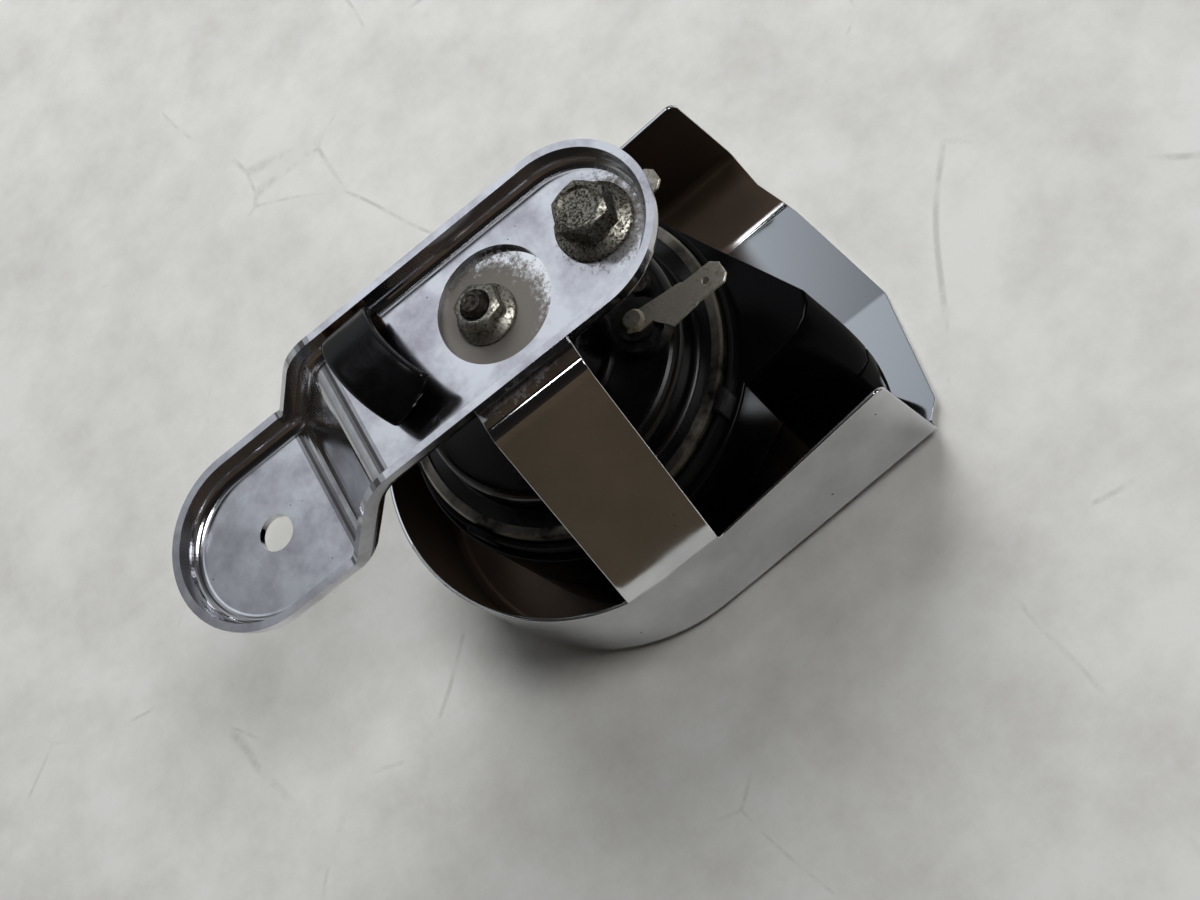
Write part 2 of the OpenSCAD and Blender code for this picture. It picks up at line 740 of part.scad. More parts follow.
module moving_contact_arm() {
    color("gold")
    at_stud() difference() {
        union() {
            leaf(upper_tip_x, post_x + 3.2, upper_z);
            translate([contact_x, tuning_y, upper_z - contact_h])
                cylinder(r = contact_r, h = contact_h);
        }
        translate([post_x, tuning_y, upper_z - 2]) cylinder(r = post_r + 0.35, h = 4);
    }
}

// The tuning screw passes through the ledge and bears on the lower leaf's tail
module tuning_screw() {
    head_h = 2;
    slot_w = 0.9;
    color("khaki")
    at_stud() translate([tuning_x, tuning_y, 0]) difference() {
        union() {
            translate([0, 0, ledge_z + 0.1]) cylinder(r = tuning_d / 2 + 0.7, h = head_h);
            translate([0, 0, lower_z + leaf_t + 0.2])
                cylinder(d = tuning_d, h = ledge_z - lower_z - leaf_t);
        }
        translate([-5, -slot_w / 2, ledge_z + 1.2]) cube([10, slot_w, 3]);
    }
}

// Terminals: a stepped boss on the ledge, a spade blade on it, and a rivet
blade_z = ledge_z + boss_h;
module each_terminal() {
    at_stud() for (side = [-1, 1])
        translate([terminal_x, side * terminal_y, 0])
            rotate([0, 0, side * terminal_splay]) children();
}

module terminal_bosses() {
    color("black")
    each_terminal() difference() {
        union() {
            translate([0, 0, ledge_z]) cylinder(r = boss_r, h = boss_h - 1.5);
            translate([0, 0, ledge_z]) cylinder(r = boss_r - 2, h = boss_h);
        }
        translate([0, 0, ledge_z - 1]) cylinder(r = rivet_r + thread_room, h = boss_h + 2);
        translate([boss_r - 2.4, -1.6, ledge_z + 2]) cube([6, 3.2, boss_h]);
    }
}

neck_w = 3.4;
neck_l = 7.5;
tip_cut = blade_w * 0.22;
eye_back = blade_w * 0.79;
module terminal_blades() {
    color("silver")
    each_terminal() translate([0, 0, blade_z]) difference() {
        union() {
            cylinder(r = 2.9, h = blade_t);
            translate([0, -neck_w / 2, 0]) cube([neck_l, neck_w, blade_t]);
            linear_extrude(height = blade_t)
                polygon([[neck_l, -blade_w / 2], [blade_l - tip_cut, -blade_w / 2],
                         [blade_l, tip_cut - blade_w / 2], [blade_l, blade_w / 2 - tip_cut],
                         [blade_l - tip_cut, blade_w / 2], [neck_l, blade_w / 2]]);
        }
        translate([0, 0, -1]) cylinder(r = rivet_r + thread_room, h = 3);
        translate([blade_l - eye_back, 0, -1]) cylinder(r = 0.85, h = 3);
    }
}

module terminal_rivets() {
    rivet_low_z = ledge_z - housing_t - 0.1;
    color("gray")
    each_terminal() {
        translate([0, 0, rivet_low_z]) cylinder(r = rivet_r, h = blade_z - rivet_low_z + 1.2);
        translate([0, 0, blade_z + blade_t])
            cylinder(r1 = 2.7, r2 = 2.1, h = 1);
        translate([0, 0, rivet_low_z - 0.8]) cylinder(r = 2.6, h = 0.8);
    }
}

// Plan of the trumpet: a round body and a duct that ends at the turned mouth;
// d draws it in by a wall, and then the mouth's side is left open
trumpet_r = cover_r - trumpet_gap;
trumpet_rear_depth = crimp_depth + trumpet_drop;
trumpet_low_z = front_z + cover_t + trumpet_room;
split_z = (trumpet_low_z - trumpet_rear_depth) / 2;
duct_near_y = -29.7;
duct_far_y = trumpet_r - 1.2;
mouth_dir = [-sin(mouth_turn), cos(mouth_turn)];
mouth_w = (duct_far_y + mouth_near_y) / mouth_dir[1];
mouth_near = [mouth_near_x, -mouth_near_y];
mouth_far = mouth_near + mouth_w * mouth_dir;
module trumpet_plan(d) {
    past = d > 0 ? 6 : 0;
    circle(r = trumpet_r - d);
    polygon([[0, duct_near_y - 2 + d], [trumpet_r * cos(45), duct_near_y + d * 1.05],
             [mouth_near_x - 12, duct_near_y + 1.4 + d],
             [mouth_near_x - 3.6, -mouth_near_y - 6 + d],
             mouth_near + [past, d * 0.9], mouth_far + [past, -d],
             [8, duct_far_y - d], [0, duct_far_y - d]]);
}

// Spiral wall that leads from the throat out to the duct's near side
spiral_out_r = trumpet_r - trumpet_t / 2 - 0.3;
spiral_in_r = throat_r + 3.5;
spiral_from = -48;
spiral_turn = 290;
spiral_steps = 36;
function spiral_r(f) = spiral_out_r * pow(spiral_in_r / spiral_out_r, f);
function spiral_side(d) = [for (i = [0:spiral_steps]) let (f = i / spiral_steps,
    a = spiral_from + spiral_turn * f) (spiral_r(f) + d) * [cos(a), sin(a)]];
module spiral_wall() {
    inner = spiral_side(-trumpet_t / 2);
    polygon(concat(spiral_side(trumpet_t / 2),
        [for (i = [spiral_steps:-1:0]) inner[i]]));
}

// A ring about the stud's axis, between two radii and two heights
module ring(r_in, r_out, z0, z1) {
    translate([0, 0, z0]) difference() {
        cylinder(r = r_out, h = z1 - z0);
        translate([0, 0, -1]) cylinder(r = r_in, h = z1 - z0 + 2);
    }
}

lug_angles = [-50, 50, 150, 210];
lug_sweep = 8;
collar_in_r = crimp_r + 0.3;
collar_out_r = crimp_r + 1.6;
collar_z = crimp_low_z + 1.8;
module snap_lug() {
    rotate([0, 0, -lug_sweep / 2]) rotate_extrude(angle = lug_sweep)
        polygon([[collar_in_r, -trumpet_rear_depth], [collar_out_r + 0.6, -trumpet_rear_depth],
                 [collar_out_r + 0.6, -crimp_depth + 0.6], [collar_out_r - 0.4, -crimp_depth + 1.2],
                 [crimp_r - 1, -crimp_depth + 0.1], [collar_in_r, -crimp_depth + 0.1]]);
}

module trumpet_rear() {
    color("black")
    at_stud() {
        difference() {
            translate([0, 0, split_z])
                linear_extrude(height = -trumpet_rear_depth - split_z) trumpet_plan(0);
            translate([0, 0, split_z - 1])
                linear_extrude(height = -trumpet_rear_depth - trumpet_t - split_z + 1)
                    trumpet_plan(trumpet_t);
            translate([0, 0, -trumpet_rear_depth - trumpet_t - 1])
                cylinder(r = throat_r, h = trumpet_t + 2);
        }
        ring(stack_r - 5, crimp_r, -trumpet_rear_depth, crimp_low_z);
        ring(collar_in_r, collar_out_r, -trumpet_rear_depth, collar_z);
        for (a = lug_angles) rotate([0, 0, a]) snap_lug();
    }
}

// The spiral wall reaches up to the rear half's roof, just inside its walls
spiral_h = -trumpet_rear_depth - trumpet_low_z - trumpet_t * 1.5;
module trumpet_front() {
    color("black")
    at_stud() {
        difference() {
            translate([0, 0, trumpet_low_z])
                linear_extrude(height = split_z - trumpet_low_z) trumpet_plan(0);
            translate([0, 0, trumpet_low_z + trumpet_t])
                linear_extrude(height = split_z - trumpet_low_z) trumpet_plan(trumpet_t);
        }
        difference() {
            translate([0, 0, trumpet_low_z + trumpet_t / 2])
                linear_extrude(height = spiral_h) spiral_wall();
            translate([0, 0, split_z]) linear_extrude(height = spiral_h) difference() {
                circle(r = trumpet_r + 5);
                trumpet_plan(trumpet_t + 0.1);
            }
        }
    }
}

mounting_bracket();
bracket_bolt();
bracket_weld_nut();
wire_clip();
wire_clip_sleeve();
horn_cover();
horn_stud();
stud_nut();
horn_housing();
crimp_ring();
housing_gasket();
diaphragm();
tone_gasket();
armature();
armature_nut();
pole_core();
coil_bobbin();
coil_winding();
contact_post();
fixed_contact_arm();
moving_contact_arm();
tuning_screw();
terminal_bosses();
terminal_blades();
terminal_rivets();
trumpet_rear();
trumpet_front();
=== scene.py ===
# %% [markdown]
# A motorcycle horn lies on its face on a pale painted table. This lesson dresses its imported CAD
# model in Blender: the camera and the light first, then the finishes, then each piece that needs
# more shape than the CAD solid has. The CAD nodes are loaded as a fixed frame, so every new piece
# is drawn at its real place in metres and nothing has to be fitted by eye.

# %% Load the frame
import bpy
from math import cos, pi, radians, sin, tan
from mathutils import Matrix, Vector


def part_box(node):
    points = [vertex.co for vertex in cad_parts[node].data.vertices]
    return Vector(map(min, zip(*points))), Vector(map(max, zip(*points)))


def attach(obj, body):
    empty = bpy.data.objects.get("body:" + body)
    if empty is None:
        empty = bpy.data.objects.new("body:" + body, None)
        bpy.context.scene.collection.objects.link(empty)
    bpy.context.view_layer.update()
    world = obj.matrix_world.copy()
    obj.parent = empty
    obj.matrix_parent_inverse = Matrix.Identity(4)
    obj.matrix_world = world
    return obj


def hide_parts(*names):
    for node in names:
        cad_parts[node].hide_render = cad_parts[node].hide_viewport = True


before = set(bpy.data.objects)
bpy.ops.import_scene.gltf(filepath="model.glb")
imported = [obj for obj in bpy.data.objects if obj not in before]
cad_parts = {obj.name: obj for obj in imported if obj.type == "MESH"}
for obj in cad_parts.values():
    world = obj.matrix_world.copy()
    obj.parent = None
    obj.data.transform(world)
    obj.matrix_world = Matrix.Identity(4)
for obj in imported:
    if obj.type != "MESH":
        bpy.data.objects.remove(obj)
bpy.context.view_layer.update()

MM = 0.001

# %% [markdown]
# The horn's parts are drawn round its stud, 73 mm along the bracket and 15 mm up from the origin.
# One small function turns a place given in millimetres from the stud's foot into metres in the
# model, so that the numbers below are the ones that a caliper would show on the real horn.

# %% Places round the stud
STUD = Vector((73, 0, 15))


def at(x, y, z):
    """A place in millimetres from the stud's foot, as metres in the model."""
    return (Vector((x, y, z)) + STUD) * MM


print("the stud's foot is at", [round(v, 4) for v in at(0, 0, 0)])

# %% [markdown]
# The camera stands where the photograph was taken from: behind and above the horn, on the near
# side of the tab. A camera looks along its own -Z, so its turn is written as the three directions
# right, up and back, which are the columns of a rotation matrix.

# %% Camera
camera_data = bpy.data.cameras.new("camera")
camera_data.lens = 60
camera_data.sensor_width = 36
camera = bpy.data.objects.new("camera", camera_data)
bpy.context.scene.collection.objects.link(camera)
right = Vector((0.77730574, -0.46444661, -0.42436439))
up = Vector((0.60493631, 0.73701578, 0.3014296))
back = -Vector((-0.17276529, 0.49101639, -0.85384721))
stand = Vector((0.149899, -0.248136, 0.369530))
turned = Matrix((right, up, back)).transposed().to_4x4()
camera.matrix_world = Matrix.Translation(stand) @ turned
bpy.context.scene.camera = camera
bpy.context.scene.view_settings.view_transform = "Standard"
print("camera at", [round(v, 3) for v in camera.location])

# %% [markdown]
# A colour is written as it would be picked from a picture, in sRGB, but the shader wants linear
# light. One function turns a hex value into linear, and one adds a node to a material together
# with its settings and its links, so that each finish below reads as a short recipe.

# %% Colour and node helpers
def colour(hex_value):
    """An sRGB hex value such as c8cacc as a linear colour with alpha."""
    parts = [int(hex_value[i:i + 2], 16) / 255 for i in (0, 2, 4)]
    return [p / 12.92 if p <= 0.04045 else ((p + 0.055) / 1.055) ** 2.4 for p in parts] + [1]


def add(tree, kind, values=None, links=None, **settings):
    """Adds a node: its own settings, the values of its sockets, and the links into them."""
    node = tree.nodes.new(kind)
    for name, value in settings.items():
        setattr(node, name, value)
    for name, value in (values or {}).items():
        node.inputs[name].default_value = value
    for name, source in (links or {}).items():
        tree.links.new(source, node.inputs[name])
    return node


def per_mm(size):
    """The texture scale that gives a pattern about this many millimetres across."""
    return 1 / (size * MM)


print("chrome in linear light:", [round(v, 3) for v in colour("c8cacc")[:3]])

# %% [markdown]
# Every finish starts in the same way: a principled shader and the object's own coordinates, which
# are metres on the real part. A stop list turns a grey noise into a mask or into two colours.

# %% Start of a finish
finishes = {}


def new_finish(name):
    """Keeps a new material under its name: its node tree, its shader and its coordinates."""
    finishes[name] = bpy.data.materials.new(name)
    finishes[name].use_nodes = True
    tree = finishes[name].node_tree
    place = add(tree, "ShaderNodeTexCoord").outputs["Object"]
    return tree, tree.nodes["Principled BSDF"], place


def stops(ramp, *pairs):
    """Sets a colour ramp to pairs of position and hex value."""
    elements = ramp.color_ramp.elements
    while len(elements) < len(pairs):
        elements.new(0.5)
    for element, (position, hex_value) in zip(elements, pairs):
        element.position = position
        element.color = colour(hex_value)
    return ramp.outputs["Color"]


print("finishes so far:", len(finishes))

# %% [markdown]
# Chrome plate is a mirror on steel. What makes it look real is what spoils the mirror a little:
# a faint haze in clouds of some 20 mm, specks of dirt a few tenths of a millimetre across, and
# dust that gathers round a bolt. On the cover that dust lies thicker near the nut, where it is
# partly painted shade on the bridge under the bracket's window. A cloudy noise moves the
# roughness, a cell noise marks the specks, and where dust lies the surface is no longer metal.
# Real specks are finer than a pixel here, so they are drawn as coarse as they need to be to show.

# %% Finish: chrome plate on the cover
def speck_mask(tree, place, spacing, size):
    """One where a speck lies: cells about spacing mm apart, each with a dot about size mm wide."""
    cells = add(tree, "ShaderNodeTexVoronoi", {"Scale": per_mm(spacing), "Randomness": 1},
                {"Vector": place})
    chance = add(tree, "ShaderNodeSeparateColor", links={"Color": cells.outputs["Color"]})
    reach = add(tree, "ShaderNodeMath", {1: size / spacing / 2}, {0: chance.outputs["Red"]},
                operation="MULTIPLY")
    return add(tree, "ShaderNodeMath", links={0: cells.outputs["Distance"], 1: reach.outputs[0]},
               operation="LESS_THAN").outputs[0]


def chrome_plate(name, clear, dull, haze, spacing, cloud_size, bolt, reach, most):
    """Chrome plate: its colour where clear and dull, its roughness from and to, the spacing of
    its specks, and the place in mm, the reach and the share of the dust round a bolt. On the
    cover that dust is partly painted shade."""
    tree, shader, place = new_finish(name)
    clouds = add(tree, "ShaderNodeTexNoise", {"Scale": per_mm(cloud_size), "Detail": 5,
                                              "Roughness": 0.6}, {"Vector": place})
    tone = stops(add(tree, "ShaderNodeValToRGB", links={"Fac": clouds.outputs["Fac"]}),
                 (0.4, clear), (0.72, dull))
    specks = speck_mask(tree, place, spacing, spacing / 9)
    spotted = add(tree, "ShaderNodeMix", {"B": colour("5a564f")}, {"Factor": specks, "A": tone},
                  data_type="RGBA")
    rough = add(tree, "ShaderNodeMapRange", {"From Min": 0.35, "From Max": 0.75,
                                             "To Min": haze[0], "To Max": haze[1]},
                {"Value": clouds.outputs["Fac"]})
    dirt = add(tree, "ShaderNodeMath", {1: 0.35}, {0: specks, 2: rough.outputs["Result"]},
               operation="MULTIPLY_ADD")
    away = add(tree, "ShaderNodeVectorMath", {1: Vector(bolt) * MM}, {0: place},
               operation="DISTANCE")
    grime = add(tree, "ShaderNodeTexNoise", {"Scale": per_mm(1.4), "Detail": 6,
                                             "Roughness": 0.8}, {"Vector": place})
    # Near the nut on the cover, part of this dust is painted shade under the bracket's window.
    dust_and_shade_near_bolt = add(tree, "ShaderNodeMapRange",
                    {"From Min": reach * MM, "From Max": reach * 0.35 * MM, "To Min": -0.1,
                     "To Max": most}, {"Value": away.outputs["Value"]})
    dust_and_shade = add(tree, "ShaderNodeMath", links={0: grime.outputs["Fac"], 1: dust_and_shade_near_bolt.outputs[0]},
               operation="ADD")
    dust_and_shade = add(tree, "ShaderNodeMapRange", {"From Min": 0.62, "From Max": 0.82, "To Max": 0.9},
               {"Value": dust_and_shade.outputs[0]})
    spotted = add(tree, "ShaderNodeMix", {"B": colour("544c42")},
                  {"Factor": dust_and_shade.outputs["Result"], "A": spotted.outputs["Result"]},
                  data_type="RGBA")
    dirt = add(tree, "ShaderNodeMath", {1: 0.4}, {0: dust_and_shade.outputs["Result"], 2: dirt.outputs[0]},
               operation="MULTIPLY_ADD")
    ripple = add(tree, "ShaderNodeTexNoise", {"Scale": per_mm(14), "Detail": 2},
                 {"Vector": place})
    bump = add(tree, "ShaderNodeBump", {"Strength": 0.12, "Distance": 0.1 * MM},
               {"Height": ripple.outputs["Fac"]})
    tree.links.new(spotted.outputs["Result"], shader.inputs["Base Color"])
    tree.links.new(dirt.outputs[0], shader.inputs["Roughness"])
    tree.links.new(bump.outputs["Normal"], shader.inputs["Normal"])
    bare = add(tree, "ShaderNodeMath", {0: 1}, {1: dust_and_shade.outputs["Result"]}, operation="SUBTRACT")
    tree.links.new(bare.outputs[0], shader.inputs["Metallic"])


# The cover was polished before it was plated, so it mirrors sharply. The bracket wasn't.
# On the cover the dust round the nut is partly real and partly painted shade on the bridge under
# the bracket's window.
chrome_plate("cover chrome plate", "e4e6e8", "cfd1d4", (0.03, 0.07), spacing=7, cloud_size=22,
             bolt=(70, -2.5, 15), reach=24, most=0.62)
chrome_plate("bracket chrome plate", "d2d4d8", "aaa8b0", (0.09, 0.22), spacing=3.2,
             cloud_size=12, bolt=(107, -1, 17), reach=17, most=0.34)
print("chrome finishes:", list(finishes))

# %% [markdown]
# Plating reaches the inside of a deep cup only near its mouth. Further in, the layer is so thin
# that rust shows through as a dull dark brown. Two masks, one along X and one along Y, bound the
# bright tongue: it begins where the cover opens and ends at the lip's far fold. Beyond that fold,
# the far strip of the front and the far wall get the same dull brown as painted shade. Colour,
# roughness and metal all follow the product of the two.

# %% Finish: rust and painted shade inside the cover
BRIGHT_X, BRIGHT_Y = (117, 124), (29.2, 28.4)
tree, shader, place = new_finish("rust and painted shade inside")
clouds = add(tree, "ShaderNodeTexNoise", {"Scale": per_mm(26), "Detail": 3}, {"Vector": place})
rust_and_shade_brown = stops(add(tree, "ShaderNodeValToRGB", links={"Fac": clouds.outputs["Fac"]}),
             (0.35, "54463a"), (0.7, "43372d"))
across = add(tree, "ShaderNodeSeparateXYZ", links={"Vector": place})
open_end = add(tree, "ShaderNodeMapRange",
               {"From Min": BRIGHT_X[0] * MM, "From Max": BRIGHT_X[1] * MM},
               {"Value": across.outputs["X"]}, interpolation_type="SMOOTHSTEP")
# Beyond the lip's far fold at y 29 mm, the same brown is painted shade on plated metal.
this_side = add(tree, "ShaderNodeMapRange",
                {"From Min": BRIGHT_Y[0] * MM, "From Max": BRIGHT_Y[1] * MM},
                {"Value": across.outputs["Y"]})
tongue = add(tree, "ShaderNodeMath", links={0: open_end.outputs["Result"],
                                            1: this_side.outputs["Result"]},
             operation="MULTIPLY").outputs[0]
plate_tone = add(tree, "ShaderNodeMix", {"B": colour("b6babe")}, {"Factor": tongue, "A": rust_and_shade_brown},
                 data_type="RGBA")
smear = add(tree, "ShaderNodeMapRange", {"To Min": 0.32, "To Max": 0.07}, {"Value": tongue})
tree.links.new(plate_tone.outputs["Result"], shader.inputs["Base Color"])
tree.links.new(smear.outputs["Result"], shader.inputs["Roughness"])
metal_share = add(tree, "ShaderNodeMapRange", {"To Min": 0.65, "To Max": 1}, {"Value": tongue})
tree.links.new(metal_share.outputs["Result"], shader.inputs["Metallic"])
print("plate is bright from x =", BRIGHT_X[1], "mm")

# %% [markdown]
# The rest of the metal is plainer: zinc that has gone dull and rusted in pits, bare steel, brass
# and iron. They share one recipe. A coarse noise mixes the clean colour with the stained one, a
# fine grain gives the pits, and the stained parts are rougher. Only the numbers differ, so one
# function holds the recipe and each finish is one call with its own sizes in millimetres.

# %% Finish: worn metals, paint and plastics
def worn(name, clean, stained, patch, grain, rough, share=0.5, depth=0.05, metal=1.0,
         contrast=0.12, gloss=0.5):
    """A worn surface: two colours in patches, with a grain, all sizes in millimetres."""
    tree, shader, place = new_finish(name)
    patches = add(tree, "ShaderNodeTexNoise", {"Scale": per_mm(patch), "Detail": 6,
                                               "Roughness": 0.65}, {"Vector": place})
    mask = add(tree, "ShaderNodeMapRange", {"From Min": share - contrast,
                                            "From Max": share + contrast},
               {"Value": patches.outputs["Fac"]})
    tone = stops(add(tree, "ShaderNodeValToRGB", links={"Fac": mask.outputs["Result"]}),
                 (0, clean), (1, stained))
    rough_map = add(tree, "ShaderNodeMapRange", {"To Min": rough[0], "To Max": rough[1]},
                    {"Value": mask.outputs["Result"]})
    pits = add(tree, "ShaderNodeTexNoise", {"Scale": per_mm(grain), "Detail": 3},
               {"Vector": place})
    bump = add(tree, "ShaderNodeBump", {"Strength": 0.6, "Distance": depth * MM},
               {"Height": pits.outputs["Fac"]})
    tree.links.new(tone, shader.inputs["Base Color"])
    tree.links.new(rough_map.outputs["Result"], shader.inputs["Roughness"])
    tree.links.new(bump.outputs["Normal"], shader.inputs["Normal"])
    shader.inputs["Metallic"].default_value = metal
    shader.inputs["Specular IOR Level"].default_value = gloss


# Zinc plate pitted by rust: dull grey with dark dots, drawn coarser than they are so they show.
worn("pitted zinc", "aba99f", "423b33", 0.6, 0.25, (0.3, 0.55), depth=0.1, contrast=0.07)
# The same plate on the nut: paler, with fewer pits.
worn("grey nut zinc", "b8b4ab", "5a544c", 0.8, 0.3, (0.36, 0.56), share=0.54, depth=0.1,
     contrast=0.08)
# Bare spring steel rusts all over, in brown blotches without a shine.
worn("rusted spring steel", "6b5240", "2e1d14", 3, 0.7, (0.45, 0.7), depth=0.1)
# Blackened steel of a stud: dark, with oil in the grain.
worn("dark stud steel", "6d6862", "332d27", 1.2, 0.4, (0.35, 0.6))
# Bare mild steel of the ring: metal and near black in long patches.
worn("bare ring steel", "8a857c", "201d1a", 16, 0.7, (0.3, 0.5), depth=0.06)
# Tinned steel strip has gone matt, with small brown stains.
worn("tinned terminal steel", "cfcbc2", "988a7b", 1.6, 0.35, (0.42, 0.6), share=0.56)
# Turned iron, rolled brass and lacquered copper wire, clean because they are closed in.
worn("soft iron", "77787a", "55504a", 4, 0.8, (0.35, 0.5))
worn("spring brass", "c9a45c", "a5814a", 3, 0.6, (0.25, 0.4), depth=0.02)
worn("varnished copper wire", "a5562c", "7e3d20", 2, 0.5, (0.3, 0.4))
# Gasket paper is matt and fibrous, moulded nylon waxy, and turned phenolic a smooth brown.
worn("gasket paper", "6b4c34", "52392a", 5, 0.4, (0.8, 0.9), metal=0)
worn("natural nylon", "e0dac4", "cfc6aa", 8, 1.5, (0.4, 0.5), metal=0, depth=0.01)
worn("brown phenolic", "5a3420", "472818", 3, 0.5, (0.35, 0.45), metal=0, depth=0.02)
# Sprayed enamel, worn smooth: nearly black, with a soft shine.
worn("worn black paint", "070708", "121110", 14, 3, (0.2, 0.34), share=0.6, metal=0,
     depth=0.01, contrast=0.2, gloss=0.3)
# Moulded ABS of the trumpet: a deep black that mirrors faintly. Its ribs and lugs are matt.
worn("black trumpet plastic", "040405", "09090a", 20, 5, (0.16, 0.26), share=0.6, metal=0,
     depth=0.008, contrast=0.2, gloss=0.06)
worn("dull lug plastic", "070707", "0c0c0c", 3, 0.8, (0.5, 0.65), metal=0, depth=0.02, gloss=0.1)
# Moulded phenolic of the bosses, and soft vinyl of the sleeve with its wet shine.
worn("black boss plastic", "0a0a0b", "191817", 3, 0.8, (0.3, 0.5), metal=0, depth=0.02,
     gloss=0.4)
worn("black sleeve vinyl", "070708", "0d0d0f", 6, 4, (0.12, 0.2), metal=0, depth=0.16, gloss=0.25)
print("finishes:", len(finishes))

# %% [markdown]
# The cover is one sheet of steel, pressed and chrome plated. Its round end and its side walls are
# one bent strip, so the outside is drawn as a thin surface first: a profile through the front's
# fold and the wall is extruded point by point, spun round the end's centre and drawn out straight
# to the mouth. Only one half is drawn. The mirror makes the other, and Solidify gives the 1 mm
# of steel at the end, which keeps the wall even in every bend.

# %% Helpers for drawing sheets
def start_outline(name, place):
    """A new mesh of one point at a place, in edit mode, ready to be extruded."""
    bpy.ops.object.select_all(action="DESELECT")
    bpy.ops.mesh.primitive_plane_add(size=MM)
    piece = bpy.context.object
    piece.name = piece.data.name = name
    bpy.ops.object.mode_set(mode="EDIT")
    bpy.ops.mesh.select_mode(type="VERT")
    bpy.ops.mesh.select_all(action="SELECT")
    bpy.ops.mesh.merge(type="CENTER")
    bpy.ops.transform.translate(value=place)
    return piece


def extrude_by(step):
    """In edit mode, extrudes what is selected by a step in metres."""
    bpy.ops.mesh.extrude_region_move(TRANSFORM_OT_translate={"value": Vector(step)})


def draw_through(places):
    """Extrudes the selected point from the first place through the others."""
    for here, there in zip(places, places[1:]):
        extrude_by(Vector(there) - Vector(here))


def pick(piece, kind, test):
    """In edit mode, selects the items whose middle, in mm from the stud's foot, passes a test."""
    bpy.ops.mesh.select_mode(type=kind)
    bpy.ops.mesh.select_all(action="DESELECT")
    bpy.ops.object.mode_set(mode="OBJECT")
    mesh = piece.data
    items = {"VERT": mesh.vertices, "EDGE": mesh.edges, "FACE": mesh.polygons}[kind]
    for item in items:
        corners = [item.co] if kind == "VERT" else [mesh.vertices[v].co for v in item.vertices]
        item.select = bool(test(sum(corners, Vector()) / len(corners) / MM - STUD))
    count = sum(item.select for item in items)
    bpy.ops.object.mode_set(mode="EDIT")
    bpy.ops.mesh.select_mode(type=kind)
    return count


def select_all():
    """In edit mode, selects everything."""
    bpy.ops.mesh.select_all(action="SELECT")


def turn(angle, axis, pivot):
    """Turns what is selected. With no window the operator turns the other way, hence -angle."""
    bpy.ops.transform.rotate(value=-angle, orient_axis=axis, center_override=pivot)


def merge_points(distance):
    """In edit mode, merges the points that lie within a distance of each other."""
    select_all()
    bpy.ops.mesh.remove_doubles(threshold=distance)


def turn_outwards():
    """In edit mode, turns every face outwards, and goes back to object mode."""
    select_all()
    bpy.ops.mesh.normals_make_consistent(inside=False)
    bpy.ops.object.mode_set(mode="OBJECT")


def check_outwards(piece):
    """An open shell may come out inside out. The wall furthest back tells, and is put right."""
    wall = min(piece.data.polygons, key=lambda f: f.center.x)
    if wall.normal.x > 0:
        piece.data.flip_normals()


def cut(place, normal, clear=False):
    """Cuts what is selected with a plane, and with clear drops the side that normal points to."""
    bpy.ops.mesh.bisect(plane_co=place, plane_no=normal, clear_outer=clear, threshold=1e-7)


def apply_modifier(piece, kind, **settings):
    """Adds a modifier with its settings and applies it."""
    bpy.ops.object.modifier_add(type=kind)
    modifier = piece.modifiers[-1]
    for name, value in settings.items():
        setattr(modifier, name, value)
    bpy.ops.object.modifier_apply(modifier=modifier.name)


def thicken(piece, wall, offset, **settings):
    """Gives a thin surface a wall in mm: inwards with offset -1, to both sides with 0."""
    apply_modifier(piece, "SOLIDIFY", thickness=wall * MM, offset=offset, use_even_offset=True,
                   **settings)


def rounded(piece, width, segments=2, angle=50):
    """Rounds the edges that are sharper than an angle and keeps the flat faces flat."""
    apply_modifier(piece, "BEVEL", width=width * MM, segments=segments, limit_method="ANGLE",
                   angle_limit=radians(angle))
    bpy.ops.object.shade_smooth()
    apply_modifier(piece, "WEIGHTED_NORMAL", keep_sharp=True, weight=80)


# %% Cover: the fold and the wall, spun round the end
ROUND_X, COVER_R, FOLD_R, FRONT_Z, RIM_Z = -7.7, 51.4, 3.5, -87.3, -54.3
TAPER, WALL_END_X = radians(2.4), 64
profile = [at(ROUND_X - COVER_R + FOLD_R * (1 - sin(a)), 0, FRONT_Z + FOLD_R * (1 - cos(a)))
           for a in [pi / 2 * i / 8 for i in range(9)]]
profile.append(at(ROUND_X - COVER_R, 0, -45))
cover = start_outline("chrome_cover", profile[0])
draw_through(profile)
select_all()
bpy.ops.mesh.spin(steps=40, angle=pi / 2 + TAPER, center=at(ROUND_X, 0, 0), axis=(0, 0, 1))
wall_length = (WALL_END_X - ROUND_X - COVER_R * sin(TAPER)) * MM / cos(TAPER)
extrude_by((wall_length * cos(TAPER), -wall_length * sin(TAPER), 0))
print("half the wall:", len(profile), "points high,", round(wall_length / MM, 1), "mm straight")

# %% Cover: trim the rim and the mouth
STRAP_BACK, STRAP_FRONT = -19.3, 6.7
MOUTH_TOP, MOUTH_LOW = (57.4, -47.5), (60.4, FRONT_Z)
for x in (STRAP_BACK, STRAP_FRONT):
    select_all()
    cut(at(x, 0, 0), (1, 0, 0))
select_all()
lean = (MOUTH_LOW[0] - MOUTH_TOP[0]) / (MOUTH_TOP[1] - MOUTH_LOW[1])
cut(at(MOUTH_TOP[0], 0, MOUTH_TOP[1]), (1, 0, lean), clear=True)
rise = (MOUTH_TOP[1] - RIM_Z) / (MOUTH_TOP[0] - STRAP_FRONT)
pick(cover, "FACE", lambda p: p.x < STRAP_FRONT)
cut(at(0, 0, RIM_Z), (0, 0, 1))
pick(cover, "FACE", lambda p: p.x > STRAP_FRONT)
cut(at(STRAP_FRONT, 0, RIM_Z), (-rise, 0, 1))
pick(cover, "FACE", lambda p: p.z > RIM_Z + max(0, p.x - STRAP_FRONT) * rise)
bpy.ops.mesh.delete(type="FACE")
merge_points(1e-6)
